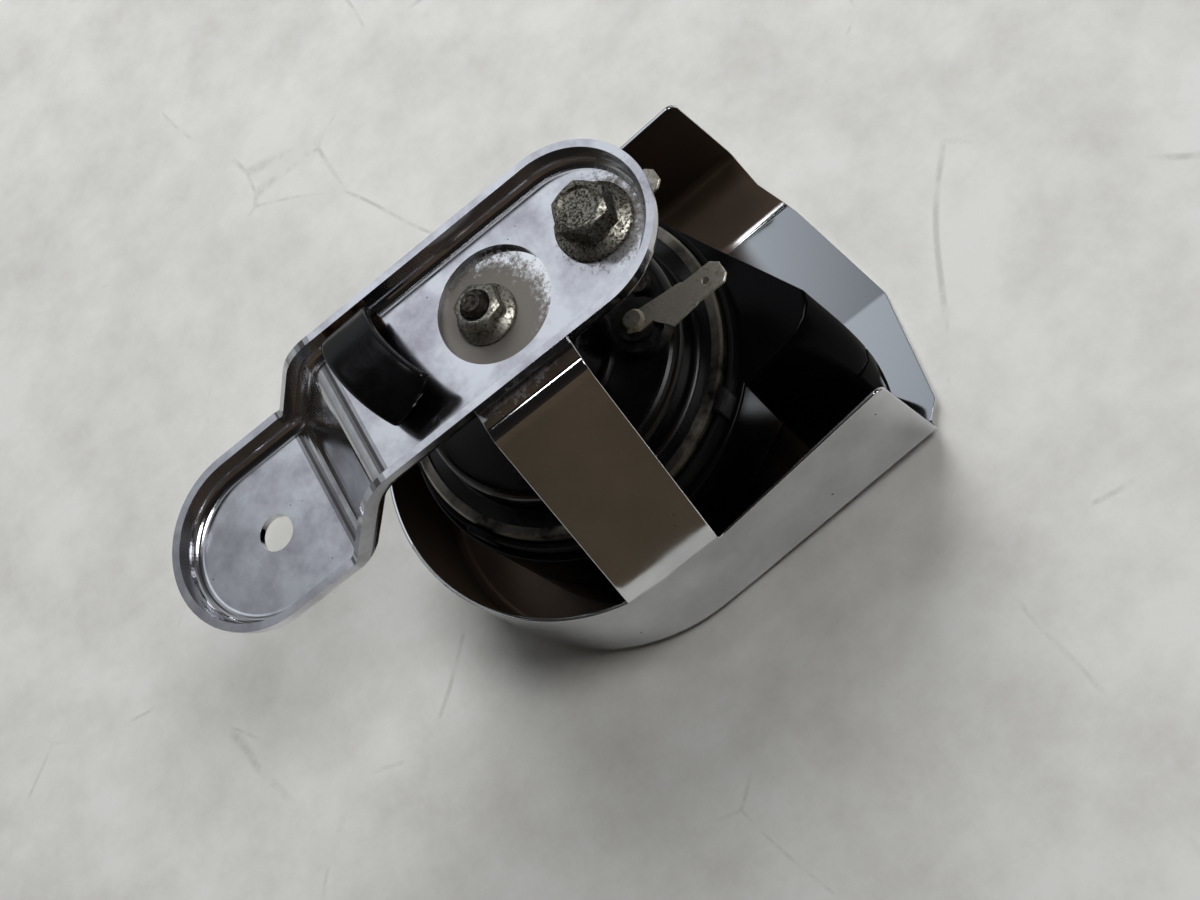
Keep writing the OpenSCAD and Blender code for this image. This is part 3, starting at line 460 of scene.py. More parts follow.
print("half cover:", len(cover.data.vertices), "points before the strap")

# %% [markdown]
# Two arms of the same sheet rise from the walls' rim, lean in and meet in the flat bridge that
# carries the horn. Each arm starts as the rim's own curve. It is extruded row by row along the
# bend, and each row is squeezed a little more in y, until the arm is flat before it turns over.

# %% Cover: the arms and the bridge
SLOPE, FOOT_R, BEND_R, ARM_SHIFT = radians(64.5), 5, 5, 5.7
BRIDGE_HALF, TONGUE_R, BOLT_X = 15.6, 13, 31.3
run = (-RIM_Z - BEND_R * (1 - cos(SLOPE)) - FOOT_R * cos(SLOPE)) / sin(SLOPE)
DECK_Y = COVER_R - FOOT_R * (1 - sin(SLOPE)) - run * cos(SLOPE) - BEND_R * sin(SLOPE)
foot_turns = [(pi / 2 - SLOPE) * t for t in (0, 0.25, 0.5, 0.75, 1)]
rows = [(COVER_R - FOOT_R + FOOT_R * cos(a), RIM_Z + FOOT_R * sin(a)) for a in foot_turns]
rows += [(DECK_Y + BEND_R * cos(a), -BEND_R + BEND_R * sin(a))
         for a in [pi / 2 - SLOPE * (1 - i / 10) for i in range(11)]]
rows += [(BRIDGE_HALF, 0), (0, 0)]
pick(cover, "EDGE", lambda p: p.z > RIM_Z - 0.01 and STRAP_BACK < p.x < STRAP_FRONT)
curved = [1, 0.72, 0.4, 0.13, 0] + [0] * len(rows)
for i in range(1, len(rows)):
    (y0, z0), (y1, z1) = rows[i - 1], rows[i]
    extrude_by(Vector((ARM_SHIFT * (z1 - z0) / -RIM_Z, y1 - y0, z1 - z0)) * MM)
    if curved[i - 1]:
        bpy.ops.transform.resize(value=(1, curved[i] / curved[i - 1], 1),
                                 center_override=at(0, y1, z1))
bridge_x = STRAP_FRONT + ARM_SHIFT
pick(cover, "EDGE",
     lambda p: abs(p.z) < 0.01 and p.x > bridge_x - 0.1 and p.y < BRIDGE_HALF - 0.1)
extrude_by(((BOLT_X - bridge_x) * MM, 0, 0))
bpy.ops.transform.resize(value=(1, TONGUE_R / BRIDGE_HALF, 1), center_override=at(BOLT_X, 0, 0))
bpy.ops.mesh.spin(steps=16, angle=pi / 2, center=at(BOLT_X, 0, 0), axis=(0, 0, 1))
merge_points(1e-6)
bpy.ops.object.mode_set(mode="OBJECT")
apply_modifier(cover, "MIRROR", use_axis=(False, True, False), merge_threshold=1e-5)
print("whole cover:", len(cover.data.vertices), "points, arms flat from y", round(DECK_Y, 2))

# %% [markdown]
# The front is one flat face inside the fold, and at the mouth it reaches out in a lip with a
# blunt point. The lip's corners are drawn from one side of the mouth to the other, and then the
# whole open loop is filled with one face. Towards the lip the real sheet is folded a few degrees
# along two lines, which is why the light changes there at once. The face is cut along the two
# lines and the points between them are lifted a little.

# %% Cover: the front with its lip
bpy.ops.object.mode_set(mode="EDIT")
corner = max((v.co for v in cover.data.vertices if v.co.z < at(0, 0, FRONT_Z + 0.01)[2]),
             key=lambda co: co.x + co.y)
corner = corner / MM - STUD
lip = [corner, Vector((60.9, 36.9, FRONT_Z)), Vector((64.5, 25.4, FRONT_Z)),
       Vector((69.9, -9.2, FRONT_Z)), Vector((64.2, -41, FRONT_Z)),
       Vector((corner.x, -corner.y, FRONT_Z))]
pick(cover, "VERT", lambda p: (p - corner).length < 0.01)
draw_through([at(*p) for p in lip])
merge_points(1e-5)
pick(cover, "EDGE", lambda p: p.z < FRONT_Z + 0.005)
bpy.ops.mesh.edge_face_add()
print("front: one face with", len(lip), "corners at the lip")

# %% Cover: the folds in the lip and the mouth's corners
CREASES = (28.5, -9.2)
for place, normal in ((at(STRAP_FRONT, 0, 0), (1, 0, 0)), (at(0, CREASES[0], 0), (0, 1, 0)),
                      (at(0, CREASES[1], 0), (0, 1, 0))):
    pick(cover, "FACE", lambda p: p.z < FRONT_Z + 0.005)
    cut(place, normal)
for lift, test in ((5.5, lambda p: p.y > 40 and p.z < -83.5), (3.8, lambda p: 36 < p.y < 38),
                   (2.0, lambda p: 28 < p.y < 29), (1.6, lambda p: -43 < p.y < -39),
                   (1.8, lambda p: p.y < -43 and p.z < -83.5)):
    pick(cover, "VERT", lambda p: p.x > 50 and p.z < FRONT_Z + FOLD_R + 0.2 and test(p))
    bpy.ops.transform.translate(value=(0, 0, lift * MM))
for crease, width in zip(CREASES, (1.4, 0.4)):
    pick(cover, "EDGE", lambda p: abs(p.y - crease) < 0.1 and p.x > 10 and p.z < -84)
    bpy.ops.mesh.bevel(offset=width * MM, segments=3, affect="EDGES")
pick(cover, "VERT", lambda p: p.x > 57 and abs(p.y) > 45 and p.z > MOUTH_TOP[1] - 0.1)
bpy.ops.mesh.bevel(offset=2.6 * MM, segments=5, affect="VERTICES")
print("the lip is folded at y =", CREASES, "mm")

# %% Cover: the wall of the sheet
turn_outwards()
check_outwards(cover)
for name in ("cover chrome plate", "rust and painted shade inside"):
    cover.data.materials.append(finishes[name])
thicken(cover, 1, -1, material_offset=1)
rounded(cover, 0.22, 2, 60)
print("cover:", len(cover.data.polygons), "faces, size in mm",
      [round(v / MM, 1) for v in cover.dimensions])

# %% [markdown]
# The bracket is a tray with a rim all round, pressed from 2 mm sheet and bent up in an S. Half of
# its section is drawn and spun a quarter turn at the tab's round end. The other side of the same
# section is drawn out along the tab, turned through both bends and along the plate, and spun
# again at the plate's end. The section is drawn as a loop through both faces of the sheet and
# over the rim, because the rim was cut off level: its flat top is what catches the light.

# %% Bracket: the section and the tab's round end
TAB_W, PLATE_W, RIM_H, SHEET, RIM_FOLD = 23.3, 21.6, 5.2, 2.0, 3.0
LEAN, TAB_END_X, TOP_EDGE = radians(10), -2.5, 0.7
rim_y = TAB_W - SHEET / cos(LEAN)
fold_y = rim_y - RIM_FOLD * cos(LEAN) - (RIM_H - RIM_FOLD * (1 - sin(LEAN))) * tan(LEAN)
tray = [(0, 0), (4, 0), (fold_y * 0.7, 0)]
tray += [(fold_y + RIM_FOLD * sin(a), RIM_FOLD * (1 - cos(a)))
         for a in [(pi / 2 - LEAN) * i / 8 for i in range(9)]]
tray += [(rim_y - TOP_EDGE * tan(LEAN), RIM_H - TOP_EDGE), (rim_y, RIM_H), (TAB_W, RIM_H),
         (TAB_W - TOP_EDGE * tan(LEAN), RIM_H - TOP_EDGE)]
tray += [(fold_y + (RIM_FOLD + SHEET) * sin(a), RIM_FOLD - (RIM_FOLD + SHEET) * cos(a))
         for a in [(pi / 2 - LEAN) * i / 8 for i in range(8, -1, -1)]]
tray += [(fold_y * 0.7, -SHEET), (4, -SHEET), (0, -SHEET)]
tab_centre = (TAB_END_X * MM, 0, 0)
bracket = start_outline("tray_bracket", tab_centre)
draw_through([(TAB_END_X * MM, y * MM, z * MM) for y, z in tray])
select_all()
bpy.ops.mesh.spin(steps=36, angle=-pi / 2, center=tab_centre, axis=(0, 0, 1))
print("section:", len(tray), "points, rim", RIM_H, "mm high")

# %% Bracket: the run through both bends to the plate's end
STEP_X, PLATE_Z, BEND, STEP_TURN, PLATE_END_X = 15, 17, 8, radians(50), 98
BEND_STEPS = 8
slope_length = (PLATE_Z - 2 * BEND * (1 - cos(STEP_TURN))) / sin(STEP_TURN)
PLATE_X = STEP_X + 2 * BEND * sin(STEP_TURN) + slope_length * cos(STEP_TURN)
pick(bracket, "EDGE", lambda p: abs((p + STUD).x - TAB_END_X) < 1e-4 and (p + STUD).y > 0)
extrude_by(((STEP_X - TAB_END_X) * MM, 0, 0))
narrow = (PLATE_W / TAB_W) ** (1 / (2 * BEND_STEPS + 1))


def next_row(step, angle=0, pivot=(0, 0, 0)):
    """Extrudes the row, turns it in the side view about a pivot and narrows it."""
    extrude_by(step)
    if angle:
        turn(angle, "Y", pivot)
    bpy.ops.transform.resize(value=(1, narrow, 1), center_override=(0, 0, 0))


for i in range(BEND_STEPS):
    next_row((0, 0, 0), -STEP_TURN / BEND_STEPS, (STEP_X * MM, 0, BEND * MM))
next_row(Vector((cos(STEP_TURN), 0, sin(STEP_TURN))) * slope_length * MM)
for i in range(BEND_STEPS):
    next_row((0, 0, 0), STEP_TURN / BEND_STEPS, (PLATE_X * MM, 0, (PLATE_Z - BEND) * MM))
extrude_by(((PLATE_END_X - PLATE_X) * MM, 0, 0))
bpy.ops.mesh.spin(steps=36, angle=pi / 2, center=(PLATE_END_X * MM, 0, 0), axis=(0, 0, 1))
merge_points(2e-6)
bpy.ops.object.mode_set(mode="OBJECT")
apply_modifier(bracket, "MIRROR", use_axis=(False, True, False), merge_threshold=1e-5)
print("tray in mm:", [round(v / MM, 2) for v in bracket.dimensions])

# %% Bracket: the open holes and the rounded edges
def bore(piece, place, diameter, depth):
    """Cuts a round hole along Z through a piece, which is then active but no longer selected."""
    bpy.ops.object.select_all(action="DESELECT")
    bpy.ops.mesh.primitive_cylinder_add(vertices=128, radius=diameter / 2 * MM, depth=depth * MM,
                                        location=place)
    drill = bpy.context.object
    bpy.context.view_layer.objects.active = piece
    apply_modifier(piece, "BOOLEAN", object=drill, operation="DIFFERENCE", solver="EXACT")
    bpy.data.objects.remove(drill)


bpy.ops.object.mode_set(mode="EDIT")
turn_outwards()
tab_face = min(bracket.data.polygons, key=lambda f: (f.center - Vector((0, 0.002, 0))).length)
print("tab's upper face looks", "up" if tab_face.normal.z > 0 else "down")
MOUNTING_HOLE, WINDOW, WINDOW_X = 9, 28, 2.9
bore(bracket, (0, 0, -1 * MM), MOUNTING_HOLE, 10)
bore(bracket, at(WINDOW_X, 0, 1), WINDOW, 10)
# A piece that isn't selected isn't shaded smooth either: up close the bends show as flat bands.
rounded(bracket, 0.9, 4, 45)
low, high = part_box("mounting_bracket")
print("bracket:", len(bracket.data.polygons), "faces; CAD box in mm",
      [round(v / MM, 1) for v in high - low], "piece",
      [round(v / MM, 1) for v in bracket.dimensions])

# %% [markdown]
# A strip of spring steel hooks under the plate's far rim and arches over the floor, and a black
# sleeve covers it, to hold the horn's wires. Both follow one bent path. A cross line is extruded
# from point to point along it and turned a little at each step, and Solidify then gives the
# strip its thickness and the sleeve its own.

# %% Clip: the path
CLIP_STEPS, CLIP_TURN, CLIP_DIP = 20, radians(11), -0.178
foot_y = PLATE_W - SHEET / cos(LEAN) - 2.8 * tan(LEAN) - 0.5
clip_marks = [Vector((-27.3, foot_y, 4.4)), Vector((-28.8, foot_y - 5, 12)),
              Vector((-26.8, -3, 12)), Vector((-21.8, -11.5, 7.5))]


def clip_point(t):
    """A point on the clip's path, in mm from the stud's foot, for t from 0 to 1."""
    a, b, c, d = clip_marks
    return a * (1 - t) ** 3 + b * 3 * t * (1 - t) ** 2 + c * 3 * t * t * (1 - t) + d * t ** 3


print("the clip's path spans", [round(v, 1) for v in clip_marks[3] - clip_marks[0]], "mm")


# %% Clip: the strip
def bent_strip(name, t0, t1, width):
    """A flat strip along the clip's path: its cross line is moved and turned step by step."""
    piece = start_outline(name, at(*clip_point(t0)))
    bpy.ops.transform.translate(value=(-width / 2 * MM, 0, 0))
    for i in range(6):
        extrude_by((width / 6 * MM, 0, 0))
    select_all()
    turn(CLIP_TURN * t0, "Z", at(*clip_point(t0)))
    ts = [t0 + (t1 - t0) * i / CLIP_STEPS for i in range(CLIP_STEPS + 1)]
    for here, there in zip(ts, ts[1:]):
        extrude_by((clip_point(there) - clip_point(here)) * MM)
        middle = at(*clip_point(there))
        for axis, amount in (("Z", CLIP_TURN), ("Y", CLIP_DIP)):
            turn(amount * (there - here), axis, middle)
    turn_outwards()
    return piece


strip = bent_strip("clip_strip", 0, 0.96, 12)
thicken(strip, 1, 0)
rounded(strip, 0.2)
print("strip:", len(strip.data.polygons), "faces")

# %% [markdown]
# The sleeve is a flattened tube that is a little longer than the strip, open at both ends. It is
# made from the same cross lines: a wide strip thickened to the outside of the sleeve, its two end
# faces taken away, and a second Solidify inwards for the sleeve's own wall.

# %% Clip: the sleeve
SLEEVE_START = 0.07
sleeve = bent_strip("clip_sleeve", SLEEVE_START, 1, 13.6)
thicken(sleeve, 2.8, 0)
apply_modifier(sleeve, "BEVEL", width=1.1 * MM, segments=4, limit_method="ANGLE",
               angle_limit=radians(60))
bpy.ops.object.mode_set(mode="EDIT")
end, way = clip_point(1), (clip_marks[3] - clip_marks[2]).normalized()
start = clip_point(SLEEVE_START)
back_way = (clip_point(SLEEVE_START - 0.02) - clip_point(SLEEVE_START + 0.02)).normalized()
caps = pick(sleeve, "FACE", lambda p: (p - end).dot(way) > -0.12
            or (p - start).dot(back_way) > -0.12)
bpy.ops.mesh.delete(type="FACE")
bpy.ops.object.mode_set(mode="OBJECT")
bpy.ops.object.shade_smooth()
thicken(sleeve, 0.5, -1)
print("sleeve:", len(sleeve.data.polygons), "faces,", caps, "taken away at its ends")

# %% [markdown]
# The flange bolt and the flange nut are turned and forged parts. A six-sided cylinder is the
# start of each hexagon: its corners are cut by a cone through a boolean, as the lathe does. The
# flange is a thin outline spun round the axis, and the bevel then rounds what the forge rounds.

# %% Fasteners: helpers
def lathe(name, outline, place, steps=72):
    """Spins an outline of (radius, height) in mm round a place on Z and closes it."""
    points = [Vector(place) + Vector((r * MM, 0, h * MM)) for r, h in outline]
    piece = start_outline(name, points[0])
    draw_through(points)
    select_all()
    bpy.ops.mesh.spin(steps=steps, angle=2 * pi, center=place, axis=(0, 0, 1))
    merge_points(5e-6)
    turn_outwards()
    return piece


def join_cut(piece, tool, operation):
    """Joins or cuts a piece with a tool object and removes the tool."""
    bpy.ops.object.select_all(action="DESELECT")
    piece.select_set(True)
    bpy.context.view_layer.objects.active = piece
    apply_modifier(piece, "BOOLEAN", object=tool, operation=operation, solver="EXACT")
    bpy.data.objects.remove(tool)


def hexagon(name, flats, height, place, angle):
    """A hexagon bar whose top corners are turned off at 30 degrees."""
    corner = flats / 2 / cos(pi / 6)
    bpy.ops.object.select_all(action="DESELECT")
    bpy.ops.mesh.primitive_cylinder_add(vertices=6, radius=corner * MM, depth=height * MM,
                                        location=Vector(place) + Vector((0, 0, height / 2 * MM)),
                                        rotation=(0, 0, radians(angle) + pi / 6))
    bar = bpy.context.object
    bar.name = name
    bpy.ops.object.transform_apply(location=True, rotation=True, scale=True)
    dome = lathe("dome", [(0, -1), (corner + 1, -1), (corner + 1, height - 1.7),
                          (flats / 2 - 0.5, height - 0.15), (flats / 2 - 1.3, height),
                          (0, height)], place, 48)
    join_cut(bar, dome, "INTERSECT")
    return bar


print("an M8 hexagon is", round(12 / cos(pi / 6), 2), "mm across its corners")

# %% Fasteners: the bolt, the nut and the stud
BOLT_SEAT, NUT_SEAT = at(BOLT_X, 0, SHEET), at(0, 0, 0)
bolt = hexagon("flange_bolt", 12, 9, BOLT_SEAT, 12)
flange = lathe("flange", [(0, 0), (9.0, 0), (9.3, 0.3), (9.3, 1.0), (8.9, 1.35), (6.6, 2.3),
                          (6.0, 2.9), (0, 2.9)], BOLT_SEAT)
join_cut(bolt, flange, "UNION")
dish = lathe("dish", [(0, 8.3), (4.1, 8.4), (5.0, 9.2), (0, 9.2)], BOLT_SEAT, 48)
join_cut(bolt, dish, "DIFFERENCE")
rounded(bolt, 0.18, 2, 25)
shank = lathe("bolt_shank", [(0, -14), (3.4, -14), (4, -13.3), (4, 0.1), (0, 0.1)],
              BOLT_SEAT, 48)
rounded(shank, 0.1)
nut = hexagon("flange_nut", 10, 6.2, NUT_SEAT, 22)
flange = lathe("flange", [(0, 0), (6.9, 0), (7.2, 0.3), (7.2, 0.8), (6.9, 1.1), (5.6, 1.8),
                          (5.1, 2.4), (0, 2.4)], NUT_SEAT)
join_cut(nut, flange, "UNION")
hole = lathe("hole", [(0, -1), (3.05, -1), (3.05, 5.4), (4.0, 6.4), (0, 6.4)], NUT_SEAT, 48)
join_cut(nut, hole, "DIFFERENCE")
rounded(nut, 0.15, 2, 25)
stud = lathe("stud", [(0, -16), (3, -16), (3, -10), (7, -10), (7, -1), (2.7, -1), (2.7, 7.4),
                      (2.3, 8.3), (1.6, 8.35), (1.4, 8.1), (0, 8.05)], NUT_SEAT, 64)
rounded(stud, 0.12, 2, 40)
print("fasteners:", [(o.name, len(o.data.polygons)) for o in (bolt, shank, nut, stud)])

# %% [markdown]
# A thread is one small tooth that climbs round the stud. The Screw modifier does just that: it
# turns a short outline round Z and lifts it for each turn by the pitch. That is 1 mm on an M6
# stud, and a little less here, so that each turn of the tooth meets the next.

# %% Fasteners: the stud's thread
PITCH = 0.98
outline = [at(r, 0, z) for r, z in ((2.6, 3.3), (3.0, 3.72), (3.0, 3.84), (2.6, 4.26))]
tooth = start_outline("stud_thread", outline[0])
draw_through(outline)
bpy.ops.object.mode_set(mode="OBJECT")
axis = bpy.data.objects.new("thread_axis", None)
bpy.context.scene.collection.objects.link(axis)
axis.location = NUT_SEAT
apply_modifier(tooth, "SCREW", object=axis, angle=2 * pi, screw_offset=PITCH * MM,
               iterations=4, steps=48, render_steps=48, axis="Z")
bpy.data.objects.remove(axis)
bpy.ops.object.shade_smooth()
print("thread:", [round(v / MM, 2) for v in tooth.dimensions])

# %% [markdown]
# The terminals are stamped from 0.8 mm strip: a shoulder round the rivet, a 6.35 mm tongue with
# a locking hole, and corners cut off at the tip so that the connector finds its way. One outline
# is drawn, filled and thickened, and the mirror makes the far terminal.

# %% Terminals: the two blades
blade_outline = [(20.5, -13.6), (21.3, -9.7), (27.9, -10.6), (36.6, -11.5), (37.0, -12.0),
                 (44.7, -12.0), (46.3, -13.5), (46.3, -16.9), (44.9, -18.4), (37.4, -18.4),
                 (36.8, -18.7), (29.9, -19.3), (26.7, -14.9), (23.2, -15.2), (20.5, -13.6)]
BLADE_Z, BLADE_THICK = -20.2, 0.8
corners = [at(x, y, BLADE_Z) for x, y in blade_outline]
blades = start_outline("spade_blades", corners[0])
draw_through(corners)
merge_points(1e-5)
bpy.ops.mesh.edge_face_add()
bpy.ops.object.mode_set(mode="OBJECT")
apply_modifier(blades, "SOLIDIFY", thickness=BLADE_THICK * MM, offset=0)
bore(blades, at(41.4, -15.3, BLADE_Z), 1.8, 4)
bpy.ops.object.mode_set(mode="EDIT")
pick(blades, "EDGE", lambda p: p.x > 44.6 and abs(p.z - BLADE_Z) > 0.3)
bpy.ops.mesh.bevel(offset=0.3 * MM, segments=2, affect="EDGES")
turn_outwards()
rounded(blades, 0.08, 1)
apply_modifier(blades, "MIRROR", use_axis=(False, True, False))
print("blades:", len(blades.data.polygons), "faces")

# %% [markdown]
# The trumpet is moulded in black plastic as two half shells. Its plan is a circle with a straight
# duct to the mouth, and towards the front the duct's near side swells outwards like every bell.
# A half is drawn as its plan at the closed end and drawn out level by level. At each level the
# points of the near side are moved on a little, then the open faces go and Solidify adds the wall.

# %% Trumpet: the plan at each level
ROOF_Z, SEAM_Z, FRONT_END_Z, TRUMPET_R, SWELL, BULGE = -42.6, -63.95, -85.3, 44.4, 14, 2.8
around = [76.6 + i * 242 / 48 for i in range(49)]
plan = [(TRUMPET_R * cos(radians(a)), TRUMPET_R * sin(radians(a))) for a in around]
plan += [(39, -29), (44.4, -28.3), (49, -27.2), (52.8, -25), (55.2, -22.3), (56.4, -19),
         (28.2, 43.2)]


def plan_at(z):
    """The plan's points at a height: the near side swells with the depth below the roof."""
    depth = (ROOF_Z - z) / (ROOF_Z - FRONT_END_Z)
    swell, bulge = SWELL * (1 - (1 - depth) ** 2), BULGE * sin(pi * depth)
    points = []
    for x, y in plan:
        share = min(1, max(0, (x - 26) / 30)) if y < -15 else 0
        points.append((x + bulge * share ** 4, y - swell * share, z))
    return points


print("the plan has", len(plan), "points and swells by", SWELL, "mm")

# %% Trumpet: the two half shells
def half_shell(name, closed_z, open_z, levels=6):
    """One half of the trumpet, from its closed end to its open end."""
    places = plan_at(closed_z)
    shell = start_outline(name, at(*places[0]))
    draw_through([at(*p) for p in places + places[:1]])
    merge_points(1e-5)
    bpy.ops.mesh.edge_face_add()
    for i in range(1, levels + 1):
        z = closed_z + (open_z - closed_z) * i / levels
        extrude_by((0, 0, (open_z - closed_z) / levels * MM))
        for old, new in zip(places, plan_at(z)):
            step = Vector((new[0] - old[0], new[1] - old[1], 0))
            if step.length > 1e-4:
                here = Vector((old[0], old[1], z))
                pick(shell, "VERT", lambda p: (p - here).length < 0.01)
                bpy.ops.transform.translate(value=step * MM)
        places = plan_at(z)
        pick(shell, "FACE", lambda p: abs(p.z - z) < 0.01)
    pick(shell, "FACE", lambda p: abs(p.z - open_z) < 0.01
         or (p.x > 35 and 0 < p.y < 20 and abs(p.z - closed_z) > 0.1))
    bpy.ops.mesh.delete(type="FACE")
    turn_outwards()
    check_outwards(shell)
    thicken(shell, 2, -1)
    return shell


rear_shell = half_shell("trumpet_rear_shell", ROOF_Z, SEAM_Z)
bore(rear_shell, at(0, 0, ROOF_Z - 1), 14, 6)
front_shell = half_shell("trumpet_front_shell", FRONT_END_Z, SEAM_Z)
for shell in (rear_shell, front_shell):
    bpy.ops.object.select_all(action="DESELECT")
    shell.select_set(True)
    bpy.context.view_layer.objects.active = shell
    rounded(shell, 0.7, 3, 35)
print("half shells:", [(o.name, len(o.data.polygons)) for o in (rear_shell, front_shell)])

# %% [markdown]
# Inside, a spiral wall makes the long horn of air that the trumpet needs: its radius shrinks by
# the same share at every step. On top a collar with four lugs snaps on the crimped ring. The wall
# is a drawn line extruded upwards, the collar a spun outline, and each lug a small block.

# %% Trumpet: the spiral wall, the collar and its lugs
spiral = [(43.1 * (10.5 / 43.1) ** (i / 36), radians(-48 + 290 * i / 36)) for i in range(37)]
spiral = [at(r * cos(a), r * sin(a), -84.3) for r, a in spiral]
coil_wall = start_outline("trumpet_spiral", spiral[0])
draw_through(spiral)
select_all()
extrude_by((0, 0, 39.7 * MM))
bpy.ops.object.mode_set(mode="OBJECT")
thicken(coil_wall, 2, 0)
rounded(coil_wall, 0.3)
collar = lathe("trumpet_collar", [(35, ROOF_Z), (42.6, ROOF_Z), (42.6, -38.2), (41.3, -38.2),
                                  (41.3, -40), (35, -40), (35, ROOF_Z)], NUT_SEAT, 96)
rounded(collar, 0.3)
lugs = []
for angle in (-50, 50, 150, 210):
    bpy.ops.object.select_all(action="DESELECT")
    bpy.ops.mesh.primitive_cube_add(size=MM, location=(0, 0, 0))
    lug = bpy.context.object
    lug.name = "snap_lug_" + str(angle % 360)
    bpy.ops.transform.resize(value=(1.8, 5.9, 7.8))
    bpy.ops.transform.translate(value=(42.4 * MM, 0, -38.7 * MM))
    bpy.ops.object.transform_apply(location=True, rotation=False, scale=True)
    lug.location = NUT_SEAT
    lug.rotation_euler.z = radians(angle)
    bpy.ops.object.transform_apply(location=True, rotation=True, scale=True)
    rounded(lug, 0.45, 3)
    lugs.append(lug)
print("wall, collar and lugs:", len(coil_wall.data.polygons), len(collar.data.polygons), len(lugs))

# %% [markdown]
# Each new piece now takes its finish, its body and the place of its CAD node. The nodes that
# stay as they are get a finish too, also those inside, because the horn may be opened up.

# %% Finishes on every new piece
def finish_piece(piece, node, body, finish):
    """Gives a piece its finish and its body, and hides the CAD node that it stands in for."""
    if finish:
        piece.data.materials.append(finishes[finish])
    if node:
        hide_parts(node)
    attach(piece, body)


finish_piece(cover, "horn_cover", "horn", None)
finish_piece(bracket, "mounting_bracket", "horn", "bracket chrome plate")
finish_piece(strip, "wire_clip", "horn", "rusted spring steel")
finish_piece(sleeve, "wire_clip_sleeve", "horn", "black sleeve vinyl")
finish_piece(bolt, "bracket_bolt", "horn", "pitted zinc")
finish_piece(shank, None, "horn", "pitted zinc")
finish_piece(nut, "stud_nut", "horn", "grey nut zinc")
finish_piece(stud, "horn_stud", "horn", "dark stud steel")
finish_piece(tooth, None, "horn", "dark stud steel")
finish_piece(blades, "terminal_blades", "horn", "tinned terminal steel")
finish_piece(rear_shell, "trumpet_rear", "horn", "black trumpet plastic")
finish_piece(front_shell, "trumpet_front", "horn", "black trumpet plastic")
for piece in [coil_wall, collar] + lugs:
    finish_piece(piece, None, "horn", "dull lug plastic")
print("wall, collar and lugs are", coil_wall.data.materials[0].name)

# %% Finishes on the CAD nodes that stay
node_finishes = {
    "bracket_weld_nut": "pitted zinc", "armature_nut": "pitted zinc",
    "horn_housing": "worn black paint", "crimp_ring": "bare ring steel",
    "housing_gasket": "gasket paper", "tone_gasket": "gasket paper",
    "diaphragm": "bare ring steel", "armature": "soft iron", "pole_core": "soft iron",
    "coil_bobbin": "natural nylon", "coil_winding": "varnished copper wire",
    "contact_post": "brown phenolic", "fixed_contact_arm": "spring brass",
    "moving_contact_arm": "spring brass", "tuning_screw": "dark stud steel",
    "terminal_bosses": "black boss plastic",
    "terminal_rivets": "tinned terminal steel"}
for name, finish in node_finishes.items():
    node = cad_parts[name]
    node.data.materials.clear()
    node.data.materials.append(finishes[finish])
print("CAD nodes with a finish:", len(node_finishes))

# %% [markdown]
# The floor is a table top under old white paint. Its colour stays pale whatever the light, and
# long thin scratches and faint stains keep it from looking like a blank sheet. The scratches are
# the borders of large cells, bent by a slow noise and broken off where the stains say so.

# %% Floor
FLOOR_Z = at(0, 0, FRONT_Z)[2]
bpy.ops.object.select_all(action="DESELECT")
bpy.ops.mesh.primitive_plane_add(size=6, location=(0.1, 0, FLOOR_Z))
floor = bpy.context.object
floor.name = "floor"
tree, shader, place = new_finish("painted table")
stains = add(tree, "ShaderNodeTexNoise", {"Scale": per_mm(45), "Detail": 8, "Roughness": 0.7},
             {"Vector": place})
tone = stops(add(tree, "ShaderNodeValToRGB", links={"Fac": stains.outputs["Fac"]}),
             (0.32, "c4c3be"), (0.6, "d9d9d6"))
drift = add(tree, "ShaderNodeTexNoise", {"Scale": per_mm(160), "Detail": 2}, {"Vector": place})
bent = add(tree, "ShaderNodeVectorMath", {1: (0.06, 0.06, 0)},
           {0: drift.outputs["Color"], 2: place}, operation="MULTIPLY_ADD")
lines = add(tree, "ShaderNodeTexVoronoi", {"Scale": per_mm(110)},
            {"Vector": bent.outputs["Vector"]}, feature="DISTANCE_TO_EDGE")
line = add(tree, "ShaderNodeMapRange", {"From Min": 0.006, "From Max": 0.002},
           {"Value": lines.outputs["Distance"]})
broken = add(tree, "ShaderNodeMapRange", {"From Min": 0.52, "From Max": 0.6, "To Max": 0.55},
             {"Value": stains.outputs["Fac"]})
scratch = add(tree, "ShaderNodeMath", links={0: line.outputs["Result"],
                                             1: broken.outputs["Result"]},
              operation="MULTIPLY")
tone = add(tree, "ShaderNodeMix", {"B": colour("a9a8a2")},
           {"Factor": scratch.outputs[0], "A": tone}, data_type="RGBA")
tone = add(tree, "ShaderNodeMix", {"B": colour("6f6d67")},
           {"Factor": speck_mask(tree, place, 70, 2), "A": tone.outputs["Result"]},
           data_type="RGBA").outputs["Result"]
tree.links.new(tone, shader.inputs["Base Color"])
brushed = add(tree, "ShaderNodeTexNoise", {"Scale": per_mm(6), "Detail": 4}, {"Vector": place})
bump = add(tree, "ShaderNodeBump", {"Strength": 0.3, "Distance": 0.3 * MM},
           {"Height": brushed.outputs["Fac"]})
tree.links.new(bump.outputs["Normal"], shader.inputs["Normal"])
shader.inputs["Roughness"].default_value = 0.55
floor.data.materials.append(finishes["painted table"])
print("floor lies at z =", round(FLOOR_Z / MM, 1), "mm")

# %% [markdown]
# Chrome shows the room more than itself. The photograph's room is dim and brown on the near side
# and has pale walls on the far side, with one bright ceiling panel above them. The world is made
# of these three: a ramp by height, mixed with a paler one by direction, and a soft round patch.
# The camera itself sees a plain pale backdrop.

